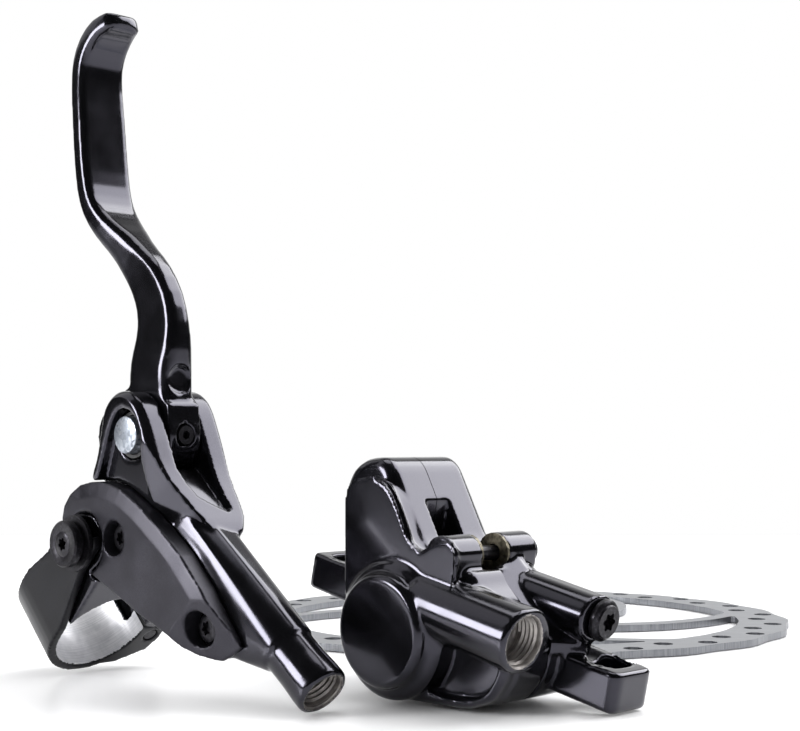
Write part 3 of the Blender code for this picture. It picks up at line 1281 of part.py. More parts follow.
def stand_on_floor(groups):
    """Moves the groups so that the floor's origin is under the middle of everything."""
    bpy.context.view_layer.update()
    low = Vector((1, 1, 1))
    high = -low
    for obj in bpy.data.objects:
        if obj.type == "MESH":
            for vert in obj.data.vertices:
                point = obj.matrix_world @ vert.co
                low = Vector(map(min, low, point))
                high = Vector(map(max, high, point))
    shift = Vector((-(low.x + high.x) / 2, -(low.y + high.y) / 2, -low.z))
    for group in groups:
        group.location += shift
    bpy.context.view_layer.update()


def main():
    clear_scene()
    lever = frame_empty("lever_frame", LEVER_AT, LEVER_TURN, LEVER_DIP, LEVER_LEAN)
    caliper = frame_empty("caliper_frame", CALIPER_AT, CALIPER_TURN, CALIPER_DIP, 0.0)
    build_lever(lever)
    build_caliper(caliper)
    stand_on_floor((lever, caliper, rotor()))


main()
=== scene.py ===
"""Finish of a bicycle's hydraulic disc brake: lever, caliper and rotor on a pale floor."""

import json
import math

import bmesh
import bpy
from mathutils import Matrix, Vector


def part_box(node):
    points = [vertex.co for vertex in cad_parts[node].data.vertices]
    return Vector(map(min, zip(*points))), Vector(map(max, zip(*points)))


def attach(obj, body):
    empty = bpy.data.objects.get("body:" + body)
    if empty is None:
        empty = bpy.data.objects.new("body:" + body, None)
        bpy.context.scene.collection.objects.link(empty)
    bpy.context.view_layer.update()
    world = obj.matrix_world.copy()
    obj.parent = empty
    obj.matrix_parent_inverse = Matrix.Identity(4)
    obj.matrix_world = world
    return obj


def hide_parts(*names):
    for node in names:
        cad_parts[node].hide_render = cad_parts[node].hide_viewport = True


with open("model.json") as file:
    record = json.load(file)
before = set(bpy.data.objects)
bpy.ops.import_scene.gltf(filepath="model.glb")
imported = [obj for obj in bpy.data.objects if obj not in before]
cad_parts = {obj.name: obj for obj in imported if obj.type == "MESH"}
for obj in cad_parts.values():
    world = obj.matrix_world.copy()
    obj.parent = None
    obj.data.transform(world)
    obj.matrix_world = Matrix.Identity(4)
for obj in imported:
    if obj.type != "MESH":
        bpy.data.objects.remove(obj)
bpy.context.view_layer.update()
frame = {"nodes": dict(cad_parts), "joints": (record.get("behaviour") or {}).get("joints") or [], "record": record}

MM = 0.001
JOINTS = {joint["name"]: joint for joint in frame["joints"]}
MOUNTS = {mount["name"]: mount for mount in frame["record"]["mounts"]}

# Photograph: 67.5 mm lens, level with the lever's fork and tipped up a little.
CAMERA_FROM_ROTOR = (-31.5, -441.6, 51.8)
CAMERA_TIP = 93.0
LENS = 67.5

# Table top, in metres.
TABLE_BACK = 0.45
TABLE_DEPTH = 5.0
TABLE_DROP = 0.0002

# Sizes that the castings share with their solids, in mm, in each group's own axes.
PIVOT = (-8.9, 46.8)
PIN_RADIUS = 4.0
BUSH_SEAT_RADIUS = 4.95
EAR_FACE = 10.3
BAR_RADIUS = 11.1
CLAMP_MIDDLE = -1.75
BOLT = (-1.75, 21.2)
BOLT_SEAT = 14.2
BORE_ANGLE = 8.5
NOSE_END = (61.6, 46.9)
NOSE_MOUTH_RADIUS = 3.9
COVER_SCREWS = ((4.8, 29.6, 9.3), (35.7, 36.6, 7.89))
FOOT_SEAT_POINT = (41.9, -4.9, -8.0)
JOINT_FACE = 0.1
HOSE_TUBE = (7.2, 11.05, 31.5)
HOSE_MOUTH_RADIUS = 4.9
BLEED = (10.8, -8.5, 34.1)
BLEED_TUBE_RADIUS = 4.7
BLEED_HOLE_RADIUS = 2.8
SEAT_GAP = 0.3

# The web between the caliper's two tubes, in mm: where its top starts on the joint, where it ends
# there, how it falls and leans, how its end slants, its underside, and its edges by the two tubes.
BRIDGE_START = (12.0, 15.1)
BRIDGE_END = 28.6
BRIDGE_FALL = 0.57
BRIDGE_LEAN = 0.33
BRIDGE_SKEW = 0.55
BRIDGE_UNDERSIDE = 3.0
BRIDGE_OUTER = 8.0
BRIDGE_INNER = -8.5
TUBE_FLANK = -6.5
JOINT_OVERLAP = 2.0

# Threads: radius, pitch, turns and depth towards the axis.
NOSE_THREAD = (3.93, 1.0, 6.5, 0.35)
HOSE_THREAD = (4.93, 1.0, 4.5, 0.38)

# Grain of each casting's skin in mm, and how many rounds of rubbing ease its edges.
CYLINDER_SKIN = (0.4, 9)
COVER_SKIN = (0.3, 3)
BLADE_SKIN = (0.35, 14)
BAND_SKIN = (0.35, 6)
CALIPER_SKIN = (0.34, 13)
JOINT_STOCK = 1.5


def group_axes(x_way, z_way, known, known_here):
    """A group's own axes in the row frame, from two directions and one point known in both."""
    x = Vector(x_way).normalized()
    z = Vector(z_way).normalized()
    turn = Matrix((x, z.cross(x), z)).transposed().to_4x4()
    return Matrix.Translation(Vector(known)) @ turn @ Matrix.Translation(-Vector(known_here) * MM)


LEVER = group_axes(JOINTS["clamp_hinge"]["axis"], JOINTS["lever_pivot"]["axis"],
                   JOINTS["lever_pivot"]["pos_m"], (*PIVOT, 0))
CALIPER_UP = -Vector(MOUNTS["front_foot_seat"]["axis"])
CALIPER_OUT = -Vector(JOINTS["pad_outer_slide"]["axis"])
CALIPER = group_axes(CALIPER_UP.cross(CALIPER_OUT), CALIPER_OUT,
                     MOUNTS["front_foot_seat"]["pos_m"], FOOT_SEAT_POINT)
SPAN = math.radians(BORE_ANGLE)
BORE_WAY = Vector((math.cos(SPAN), math.sin(SPAN), 0))


# Tools of the bench
def alone(obj):
    """Selects one object and makes it the active one."""
    bpy.ops.object.select_all(action="DESELECT")
    obj.select_set(True)
    bpy.context.view_layer.objects.active = obj


def apply_all(obj):
    """Makes the mesh what its modifiers show."""
    alone(obj)
    for modifier in list(obj.modifiers):
        bpy.ops.object.modifier_apply(modifier=modifier.name)


def place(obj, group, at=(0, 0, 0), way=(0, 0, 1)):
    """Puts a piece made round the origin, upright, onto a point and a direction of its group."""
    turn = Vector((0, 0, 1)).rotation_difference(Vector(way)).to_matrix().to_4x4()
    obj.data.transform(group @ Matrix.Translation(Vector(at) * MM) @ turn)
    obj.data.update()
    return obj


def linked(name, mesh):
    obj = bpy.data.objects.new(name, mesh)
    bpy.context.scene.collection.objects.link(obj)
    return obj


def casting(node, name, skin, past=None, added=(), removed=None):
    """Skins a node's solid with fine even faces and eases its edges, as forging and paint do.

    A piece with a machined joint is first drawn out past it, so that the joint can be cut sharp.
    """
    grain, rounds = skin
    obj = linked(name, frame["nodes"][node].data.copy())
    if removed is not None:
        carve(obj, removed)
    alone(obj)
    for extra in added:
        extra.select_set(True)
    bpy.ops.object.join()
    bpy.ops.object.mode_set(mode="EDIT")
    bpy.ops.mesh.select_all(action="SELECT")
    if past is not None:
        bpy.ops.mesh.duplicate()
        bpy.ops.transform.translate(value=past)
        bpy.ops.mesh.select_all(action="SELECT")
    bpy.ops.mesh.remove_doubles(threshold=0.002 * MM)
    bpy.ops.mesh.customdata_custom_splitnormals_clear()
    bpy.ops.object.mode_set(mode="OBJECT")
    faces = obj.modifiers.new("even faces", "REMESH")
    faces.mode = "VOXEL"
    faces.voxel_size = grain * MM
    faces.use_smooth_shade = True
    ease = obj.modifiers.new("eased edges", "SMOOTH")
    ease.factor = 0.5
    ease.iterations = rounds
    apply_all(obj)
    obj.data.materials.clear()
    return obj


def turned(name, profile, steps=64):
    """Spins a profile of (radius, height) in mm round the upright axis; its ends lie on the axis."""
    mesh = bpy.data.meshes.new(name)
    points = [(radius * MM, 0, height * MM) for radius, height in profile]
    mesh.from_pydata(points, [(i, i + 1) for i in range(len(points) - 1)], [])
    obj = linked(name, mesh)
    alone(obj)
    bpy.ops.object.mode_set(mode="EDIT")
    bpy.ops.mesh.select_all(action="SELECT")
    bpy.ops.mesh.spin(steps=steps, angle=2 * math.pi, center=(0, 0, 0), axis=(0, 0, 1))
    bpy.ops.mesh.select_all(action="SELECT")
    bpy.ops.mesh.remove_doubles(threshold=0.001 * MM)
    bpy.ops.mesh.normals_make_consistent(inside=False)
    bpy.ops.object.mode_set(mode="OBJECT")
    return obj


def carve(obj, *cutters):
    """Machines a piece with cutters, which are used up."""
    for cutter in cutters:
        step = obj.modifiers.new("machined", "BOOLEAN")
        step.operation = "DIFFERENCE"
        step.solver = "EXACT"
        step.object = cutter
        apply_all(obj)
        bpy.data.objects.remove(cutter)
    return obj


def six_lobe(radius, depth):
    """Cutter for a six-lobed drive, standing below the origin."""
    bpy.ops.object.select_all(action="DESELECT")
    bpy.ops.mesh.primitive_cylinder_add(vertices=48, radius=radius * MM, depth=2 * depth * MM)
    cutter = bpy.context.object
    for vert in cutter.data.vertices:
        turn = math.atan2(vert.co.y, vert.co.x)
        vert.co.xy *= 1 + 0.17 * math.cos(6 * turn)
    return cutter


def thread_ridge(name, thread):
    """One start of a thread inside a bore, as a three-sided ridge that faces the axis."""
    radius, pitch, turns, depth = thread
    steps = 40
    half_foot = 0.42 * pitch
    base = [(radius, -half_foot), (radius - depth, 0), (radius, half_foot)]
    mesh = bpy.data.meshes.new(name)
    bm = bmesh.new()
    rings = []
    for i in range(int(turns * steps) + 1):
        angle = 2 * math.pi * i / steps
        lift = pitch * i / steps
        rings.append([bm.verts.new((r * math.cos(angle) * MM, r * math.sin(angle) * MM, (z + lift) * MM))
                      for r, z in base])
    for near, far in zip(rings, rings[1:]):
        for i in range(3):
            j = (i + 1) % 3
            bm.faces.new((near[i], near[j], far[j], far[i]))
    bm.faces.new(rings[0])
    bm.faces.new(rings[-1])
    bmesh.ops.recalc_face_normals(bm, faces=bm.faces)
    bm.to_mesh(mesh)
    bm.free()
    return linked(name, mesh)


def bare_mouth(obj, group, mouth, way, depth, radius, bare):
    """Lacquers a casting and leaves the wall of one bore bare, from its mouth down to a depth."""
    obj.data.materials.append(LACQUER)
    obj.data.materials.append(bare)
    back = group.inverted()
    for face in obj.data.polygons:
        spot = back @ face.center / MM - mouth
        run = spot.dot(way)
        if run > -depth and (spot - way * run).length < radius:
            face.material_index = 1


def finish_piece(obj, material, body, *nodes, angle=35):
    """Shades a piece, coats it, and lets it ride and stand for its nodes."""
    alone(obj)
    bpy.ops.object.shade_smooth_by_angle(angle=math.radians(angle))
    if material is not None:
        obj.data.materials.clear()
        obj.data.materials.append(material)
    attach(obj, body)
    if nodes:
        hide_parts(*nodes)
    return obj


# Finishes
def linear(code):
    """A hex sRGB colour as linear values."""
    values = [int(code[i:i + 2], 16) / 255 for i in (1, 3, 5)]
    return (*[v / 12.92 if v <= 0.04045 else ((v + 0.055) / 1.055) ** 2.4 for v in values], 1.0)


def new_material(name):
    material = bpy.data.materials.new(name)
    material.use_nodes = True
    return material, material.node_tree, material.node_tree.nodes["Principled BSDF"]


def add(tree, kind, settings=None, **links):
    """A node with its settings and the sockets that feed it; a ramp's stops are hex colours or greys."""
    node = tree.nodes.new(kind)
    for key, value in (settings or {}).items():
        if key == "stops":
            points = node.color_ramp.elements
            while len(points) < len(value):
                points.new(0.5)
            for point, (position, shade) in zip(points, value):
                point.position = position
                point.color = linear(shade) if isinstance(shade, str) else (shade, shade, shade, 1.0)
        elif key in node.inputs:
            node.inputs[key].default_value = value
        else:
            setattr(node, key, value)
    for key, socket in links.items():
        tree.links.new(socket, node.inputs[key.replace("_", " ")])
    return node


def per_mm(size):
    """Texture scale that repeats about once in a length in mm."""
    return 1.0 / (size * MM)


def coat(tree, shader, colour, sheen, relief=None, metal=0.0):
    """Gives a shader its colour, its roughness as a pattern or one value, its relief and its metal."""
    tree.links.new(colour.outputs["Color"], shader.inputs["Base Color"])
    if isinstance(sheen, float):
        shader.inputs["Roughness"].default_value = sheen
    else:
        tree.links.new(sheen.outputs["Color"], shader.inputs["Roughness"])
    if relief is not None:
        tree.links.new(relief.outputs["Normal"], shader.inputs["Normal"])
    shader.inputs["Metallic"].default_value = metal


def lacquered_aluminium():
    """Forged aluminium under gloss black lacquer: black in depth, with sharp violet-grey reflections.

    Clouds of 9 mm change its black, handling in patches of 5 mm changes its gloss, and the skin of
    the lacquer waves every 1.5 mm.
    """
    material, tree, shader = new_material("gloss lacquer on forged aluminium")
    spot = add(tree, "ShaderNodeTexCoord").outputs["Object"]
    cloud = add(tree, "ShaderNodeTexNoise", {"Scale": per_mm(9), "Detail": 3.0}, Vector=spot)
    handled = add(tree, "ShaderNodeTexNoise", {"Scale": per_mm(5), "Detail": 3.0}, Vector=spot)
    waves = add(tree, "ShaderNodeTexNoise", {"Scale": per_mm(1.5), "Detail": 1.0}, Vector=spot)
    colour = add(tree, "ShaderNodeValToRGB", {"stops": ((0.35, "#060607"), (0.7, "#0c0c0e"))},
                 Fac=cloud.outputs["Fac"])
    sheen = add(tree, "ShaderNodeValToRGB", {"stops": ((0.3, 0.13), (0.7, 0.19))},
                Fac=handled.outputs["Fac"])
    relief = add(tree, "ShaderNodeBump", {"Strength": 0.04, "Distance": 0.03 * MM},
                 Height=waves.outputs["Fac"])
    coat(tree, shader, colour, sheen, relief)
    shader.inputs["IOR"].default_value = 1.5
    shader.inputs["Specular Tint"].default_value = linear("#e6e3ff")
    shader.inputs["Coat Weight"].default_value = 0.25
    shader.inputs["Coat Roughness"].default_value = 0.1
    return material


def satin_anodised(name, dark, light, rough):
    """Bead-blasted and anodised aluminium: a dark metal sheen with a fine even grit of 0.2 mm."""
    material, tree, shader = new_material(name)
    spot = add(tree, "ShaderNodeTexCoord").outputs["Object"]
    grit = add(tree, "ShaderNodeTexNoise", {"Scale": per_mm(0.22), "Detail": 2.0}, Vector=spot)
    cloud = add(tree, "ShaderNodeTexNoise", {"Scale": per_mm(7), "Detail": 3.0}, Vector=spot)
    both = add(tree, "ShaderNodeMath", {"operation": "MULTIPLY"})
    tree.links.new(grit.outputs["Fac"], both.inputs[0])
    tree.links.new(cloud.outputs["Fac"], both.inputs[1])
    colour = add(tree, "ShaderNodeValToRGB", {"stops": ((0.15, dark), (0.4, light))},
                 Fac=both.outputs["Value"])
    sheen = add(tree, "ShaderNodeValToRGB", {"stops": ((0.3, rough - 0.05), (0.7, rough + 0.06))},
                Fac=cloud.outputs["Fac"])
    relief = add(tree, "ShaderNodeBump", {"Strength": 0.12, "Distance": 0.03 * MM},
                 Height=grit.outputs["Fac"])
    coat(tree, shader, colour, sheen, relief, 0.75)
    return material


def machined(name, dark, light, rough, way, line=0.12, metal=1.0):
    """Bare aluminium from the boring tool: bright, with lines round the tool's axis and dull stains.

    Tool marks of a few hundredths of a millimetre are drawn coarser, so that they show.
    """
    material, tree, shader = new_material(name)
    spot = add(tree, "ShaderNodeTexCoord").outputs["Object"]
    along = add(tree, "ShaderNodeVectorMath", {"operation": "DOT_PRODUCT"})
    tree.links.new(spot, along.inputs[0])
    along.inputs[1].default_value = way
    lines = add(tree, "ShaderNodeTexNoise",
                {"noise_dimensions": "1D", "Scale": per_mm(line), "Detail": 3.0}, W=along.outputs["Value"])
    stain = add(tree, "ShaderNodeTexNoise", {"Scale": per_mm(2.5), "Detail": 4.0}, Vector=spot)
    both = add(tree, "ShaderNodeMath", {"operation": "MULTIPLY"})
    tree.links.new(lines.outputs["Fac"], both.inputs[0])
    tree.links.new(stain.outputs["Fac"], both.inputs[1])
    colour = add(tree, "ShaderNodeValToRGB", {"stops": ((0.15, dark), (0.38, light))},
                 Fac=both.outputs["Value"])
    relief = add(tree, "ShaderNodeBump", {"Strength": 0.25, "Distance": 0.02 * MM},
                 Height=lines.outputs["Fac"])
    coat(tree, shader, colour, rough, relief, metal)
    return material


def black_oxide_steel():
    """Screws blackened in a hot bath: dark brown-grey metal, oily, and rubbed pale in specks."""
    material, tree, shader = new_material("black oxide on steel")
    spot = add(tree, "ShaderNodeTexCoord").outputs["Object"]
    rub = add(tree, "ShaderNodeTexNoise", {"Scale": per_mm(0.6), "Detail": 5.0}, Vector=spot)
    colour = add(tree, "ShaderNodeValToRGB",
                 {"stops": ((0.35, "#1c1b1e"), (0.62, "#2c2b30"), (0.8, "#55545a"))},
                 Fac=rub.outputs["Fac"])
    sheen = add(tree, "ShaderNodeValToRGB", {"stops": ((0.3, 0.42), (0.8, 0.28))}, Fac=rub.outputs["Fac"])
    relief = add(tree, "ShaderNodeBump", {"Strength": 0.1, "Distance": 0.03 * MM},
                 Height=rub.outputs["Fac"])
    coat(tree, shader, colour, sheen, relief, 0.8)
    return material


def zinc_plate():
    """Zinc on a steel pin: pale grey crystals in patches of 0.8 mm, some bright and some dull."""
    material, tree, shader = new_material("zinc plate")
    spot = add(tree, "ShaderNodeTexCoord").outputs["Object"]
    flakes = add(tree, "ShaderNodeTexVoronoi", {"Scale": per_mm(0.8)}, Vector=spot)
    colour = add(tree, "ShaderNodeValToRGB",
                 {"stops": ((0.1, "#6b7078"), (0.5, "#8f959e"), (0.9, "#b9bec6"))},
                 Fac=flakes.outputs["Color"])
    sheen = add(tree, "ShaderNodeValToRGB", {"stops": ((0.2, 0.48), (0.8, 0.3))},
                Fac=flakes.outputs["Color"])
    coat(tree, shader, colour, sheen, metal=0.9)
    return material


def ground_steel():
    """Stainless rotor plate: grey, with grinding marks that cross each other."""
    material, tree, shader = new_material("ground stainless steel")
    spot = add(tree, "ShaderNodeTexCoord").outputs["Object"]
    both = add(tree, "ShaderNodeMath", {"operation": "ADD"})
    for slot, angle in enumerate((0.6, -0.7)):
        turned_spot = add(tree, "ShaderNodeMapping", {"Scale": (1, 40, 1), "Rotation": (0, 0, angle)},
                          Vector=spot)
        marks = add(tree, "ShaderNodeTexNoise", {"Scale": per_mm(9), "Detail": 3.0},
                    Vector=turned_spot.outputs["Vector"])
        tree.links.new(marks.outputs["Fac"], both.inputs[slot])
    half = add(tree, "ShaderNodeMath", {"operation": "MULTIPLY"})
    tree.links.new(both.outputs["Value"], half.inputs[0])
    half.inputs[1].default_value = 0.5
    colour = add(tree, "ShaderNodeValToRGB", {"stops": ((0.3, "#7d7f83"), (0.7, "#a9abb0"))},
                 Fac=half.outputs["Value"])
    relief = add(tree, "ShaderNodeBump", {"Strength": 0.2, "Distance": 0.02 * MM},
                 Height=half.outputs["Value"])
    coat(tree, shader, colour, 0.38, relief, 1.0)
    return material


def plain_finish(name, dark, light, size, rough, metal=0.0):
    """A simple finish with a mottle of a given size in mm."""
    material, tree, shader = new_material(name)
    spot = add(tree, "ShaderNodeTexCoord").outputs["Object"]
    mottle = add(tree, "ShaderNodeTexNoise", {"Scale": per_mm(size), "Detail": 4.0}, Vector=spot)
    colour = add(tree, "ShaderNodeValToRGB", {"stops": ((0.35, dark), (0.68, light))},
                 Fac=mottle.outputs["Fac"])
    relief = add(tree, "ShaderNodeBump", {"Strength": 0.15, "Distance": 0.04 * MM},
                 Height=mottle.outputs["Fac"])
    coat(tree, shader, colour, rough, relief, metal)
    return material


X_WAY = LEVER.to_3x3() @ Vector((1, 0, 0))
NOSE_WAY = LEVER.to_3x3() @ BORE_WAY
PORT_WAY = CALIPER.to_3x3() @ Vector((1, 0, 0))
LACQUER = lacquered_aluminium()
COVER_SATIN = satin_anodised("satin anodised cover", "#2b2a30", "#37363d", 0.36)
BAND_SATIN = satin_anodised("satin anodised clamp band", "#18181b", "#232327", 0.36)
# The bar's bore is the brightest metal of all, nearly white.
BARE_BORE = machined("bored bare aluminium", "#d4d5d9", "#efeff2", 0.4, X_WAY, 0.25, 0.4)
# The two hose bores are duller and stained grey.
RAW_NOSE = machined("bored raw aluminium", "#7d7978", "#bdb8b4", 0.5, NOSE_WAY, metal=0.8)
RAW_PORT = machined("bored raw aluminium of the caliper", "#7d7978", "#bdb8b4", 0.5, PORT_WAY, metal=0.8)
OXIDE = black_oxide_steel()
ZINC = zinc_plate()
STEEL = ground_steel()
# Old brass-grey plating, uneven and half dull.
PLATED = plain_finish("dull plated spring steel", "#4a463c", "#7d7768", 0.9, 0.42, 0.9)
# Pressed and baked grains: brown-grey, rough, without any shine.
FRICTION = plain_finish("sintered friction compound", "#3a332e", "#6a5c50", 0.4, 0.85, 0.2)
# Moulded rubber: even near-black with a dull bloom.
RUBBER = plain_finish("sealing rubber", "#161616", "#1f1f1f", 0.8, 0.7)
# Moulded phenolic: dark brown with a faint polish.
PHENOLIC = plain_finish("phenolic moulding", "#2a2622", "#38332d", 0.9, 0.5)
# Moulded bearing plastic: dark grey and half smooth.
POLYMER = plain_finish("bush polymer", "#1d1d1e", "#29292a", 0.9, 0.45)
# Drawn wire and rod: plain bright steel.
DRAWN = plain_finish("drawn steel", "#8b8c8e", "#b9babc", 0.5, 0.3, 1.0)


# Lever
def bar_bore():
    """Cutter for the handlebar's bore."""
    reach = 14
    bar = turned("bar", ((0, -reach), (BAR_RADIUS, -reach), (BAR_RADIUS, reach), (0, reach)), 128)
    return place(bar, LEVER, (CLAMP_MIDDLE, 0, 0), (1, 0, 0))


def bare_bar_seat(band):
    """Leaves the clamp band bare where it holds the bar."""
    band.data.materials.append(BAND_SATIN)
    band.data.materials.append(BARE_BORE)
    back = LEVER.inverted()
    near_wall = BAR_RADIUS + 0.08
    for face in band.data.polygons:
        spot = back @ face.center / MM
        normal = back.to_3x3() @ face.normal
        away = math.hypot(spot.y, spot.z)
        inward = -(normal.y * spot.y + normal.z * spot.z)
        if away < near_wall and inward > 0.9 * away:
            face.material_index = 1


def lever_body():
    """Cylinder forging with its fork, nose and half of the bar clamp, bored for pin, hose and bar."""
    body = casting("master_cylinder_body", "cylinder_forging", CYLINDER_SKIN)
    nose = Vector((*NOSE_END, 0))
    wall = NOSE_MOUTH_RADIUS
    mouth = turned("mouth", ((0, -10.2), (2.6, -8.6), (3.3, -8.4), (wall, -8.2), (wall, -0.9),
                             (wall + 0.5, -0.4), (wall + 0.5, 2), (0, 2)))
    reach = 12
    pins = turned("pins", ((0, -reach), (BUSH_SEAT_RADIUS, -reach), (BUSH_SEAT_RADIUS, reach), (0, reach)))
    carve(body, place(mouth, LEVER, nose, BORE_WAY), place(pins, LEVER, (*PIVOT, 0)), bar_bore())
    bare_mouth(body, LEVER, nose, BORE_WAY, 11, wall + 0.6, RAW_NOSE)
    return finish_piece(body, None, "frame", "master_cylinder_body")


def nose_thread():
    ridge = thread_ridge("nose_thread", NOSE_THREAD)
    place(ridge, LEVER, Vector((*NOSE_END, 0)) - BORE_WAY * 8.0, BORE_WAY)
    return finish_piece(ridge, RAW_NOSE, "frame")


def cover():
    lid = casting("reservoir_cover", "satin_cover", COVER_SKIN)
    return finish_piece(lid, COVER_SATIN, "frame", "reservoir_cover")


def cover_screw(seat, node):
    """Low pan-head screw with a six-lobed drive."""
    head = turned("lobed_cover_screw", ((0, -10), (1.3, -10), (1.4, -1.55), (2.8, -1.5), (3.0, -1.3),
                                        (3.0, -0.75), (2.75, -0.3), (2.2, -0.04), (1.9, 0), (0, 0)))
    carve(head, six_lobe(1.3, 1.0))
    place(head, LEVER, seat)
    return finish_piece(head, OXIDE, "frame", node)


def blade():
    piece = casting("lever_blade", "blade_forging", BLADE_SKIN)
    return finish_piece(piece, LACQUER, "blade", "lever_blade", angle=60)


def pivot_pin():
    end = EAR_FACE - 0.2
    side = PIN_RADIUS
    pin = turned("zinc_pin", ((0, -end), (side - 0.6, -end), (side - 0.15, -end + 0.2), (side, -end + 0.5),
                              (side, end - 0.5), (side - 0.15, end - 0.2), (side - 0.6, end), (0, end)), 72)
    place(pin, LEVER, (*PIVOT, 0))
    return finish_piece(pin, ZINC, "blade", "pivot_pin")


def clamp_bolt():
    """Bolt with a flanged head, a shallow ring round its top and a six-lobed drive."""
    top = 2.6
    bolt = turned("lobed_clamp_bolt", ((0, -16.4), (1.9, -16.4), (2.5, -15.8), (2.5, 0), (4.2, 0),
                                       (4.2, 0.7), (5.0, 0.95), (5.0, top - 0.35), (4.7, top), (3.0, top),
                                       (2.8, top - 0.12), (2.6, top - 0.12), (2.4, top), (0, top)), 72)
    drive = six_lobe(1.25, 1.7)
    drive.data.transform(Matrix.Translation((0, 0, top * MM)))
    carve(bolt, drive)
    place(bolt, LEVER, (*BOLT, BOLT_SEAT))
    return finish_piece(bolt, OXIDE, "clamp_bolt", "clamp_bolt")


def clamp_band():
    band = casting("clamp_band", "band_forging", BAND_SKIN)
    carve(band, bar_bore())
    bare_bar_seat(band)
    return finish_piece(band, None, "clamp_band", "clamp_band")


# Caliper
def hose_socket(radius, depth):
    """Cutter for the hose tube's bore: chamfered mouth, thread length, relief and a narrower end."""
    narrow = radius * 0.68
    return turned("socket", ((0, -depth - 1.6), (radius * 0.6, -depth), (narrow, -depth), (narrow, -6.6),
                             (radius, -6.2), (radius, -0.5), (radius + 0.4, 0), (radius + 0.4, 3), (0, 3)))


def joint_block(side):
    """What is milled away beyond the joint between the caliper's halves."""
    size = 120
    bpy.ops.object.select_all(action="DESELECT")
    bpy.ops.mesh.primitive_cube_add(size=size * MM)
    block = bpy.context.object
    return place(block, CALIPER, (0, 0, side * (JOINT_FACE - size / 2)))


def bridge_height(x, z):
    """Height of the sloping web between the hose tube and the bleed tube."""
    return BRIDGE_START[1] - BRIDGE_FALL * (x - BRIDGE_START[0]) - BRIDGE_LEAN * z


def caliper_hull(name, points):
    """Smallest solid round the given points of the caliper."""
    bm = bmesh.new()
    for point in points:
        bm.verts.new(CALIPER @ (Vector(point) * MM))
    bmesh.ops.convex_hull(bm, input=bm.verts)
    mesh = bpy.data.meshes.new(name)
    bm.to_mesh(mesh)
    bm.free()
    return linked(name, mesh)


def bridge_web(z_near, z_far):
    """The web's own solid between two distances from the joint."""
    points = []
    start = BRIDGE_START[0]
    for z in (z_near, z_far):
        end = BRIDGE_END - BRIDGE_SKEW * z
        points += [(start, bridge_height(start, z), z), (start, BRIDGE_UNDERSIDE, z),
                   (end, bridge_height(end, z), z), (end, BRIDGE_UNDERSIDE, z)]
    return caliper_hull("bridge_web", points)


def above_bridge():
    """Room over the web, from past the joint to the flank of the bleed tube."""
    points = []
    over_all = 20.0
    for x in (BRIDGE_START[0] + 1.5, BLEED[2] + 3):
        for z in (3.0, TUBE_FLANK):
            points += [(x, bridge_height(x, z), z), (x, over_all, z)]
    return caliper_hull("above_bridge", points)


def bleed_tube():
    """Round tube that carries the bleed screw."""
    y, z, end = BLEED
    start = BRIDGE_START[0]
    length = end - SEAT_GAP - start
    tube = turned("bleed_tube", ((0, 0), (BLEED_TUBE_RADIUS, 0), (BLEED_TUBE_RADIUS, length), (0, length)))
    return place(tube, CALIPER, (start, y, z), (1, 0, 0))


def outer_half():
    """Half with the cap, the hose tube and its bare bore."""
    half = casting("caliper_outer_half", "outer_half_forging", CALIPER_SKIN,
                   -CALIPER_OUT * JOINT_STOCK * MM, (bridge_web(-JOINT_OVERLAP, BRIDGE_OUTER),))
    y, z, end = HOSE_TUBE
    socket = place(hose_socket(HOSE_MOUTH_RADIUS, 10), CALIPER, (end, y, z), (1, 0, 0))
    carve(half, joint_block(1), socket)
    bare_mouth(half, CALIPER, Vector((end, y, z)), Vector((1, 0, 0)), 12, HOSE_MOUTH_RADIUS + 0.45, RAW_PORT)
    return finish_piece(half, None, "frame", "caliper_outer_half")


def port_thread():
    y, z, end = HOSE_TUBE
    ridge = thread_ridge("port_thread", HOSE_THREAD)
    place(ridge, CALIPER, (end - 5.6, y, z), (1, 0, 0))
    return finish_piece(ridge, RAW_PORT, "frame")


def inner_half():
    """Half with the mount feet and the bleed tube."""
    half = casting("caliper_inner_half", "inner_half_forging", CALIPER_SKIN,
                   CALIPER_OUT * JOINT_STOCK * MM,
                   (bridge_web(JOINT_OVERLAP, BRIDGE_INNER), bleed_tube()), above_bridge())
    y, z, end = BLEED
    hole = turned("bleed_hole", ((0, 0), (BLEED_HOLE_RADIUS, 0), (BLEED_HOLE_RADIUS, 14), (0, 14)))
    carve(half, joint_block(-1), place(hole, CALIPER, (end - 11, y, z), (1, 0, 0)))
    return finish_piece(half, LACQUER, "frame", "caliper_inner_half")


def bleed_screw():
    y, z, seat = BLEED
    top = 2.0
    screw = turned("lobed_bleed_screw", ((0, -8), (2.6, -8), (2.6, 0), (4.0, 0), (4.2, 0.2), (4.2, 1.0),
                                         (3.9, 1.4), (3.4, 1.6), (3.2, top), (0, top)))
    drive = six_lobe(1.7, 1.5)
    drive.data.transform(Matrix.Translation((0, 0, top * MM)))
    carve(screw, drive)
    place(screw, CALIPER, (seat, y, z), (1, 0, 0))
    return finish_piece(screw, OXIDE, "frame", "bleed_screw")


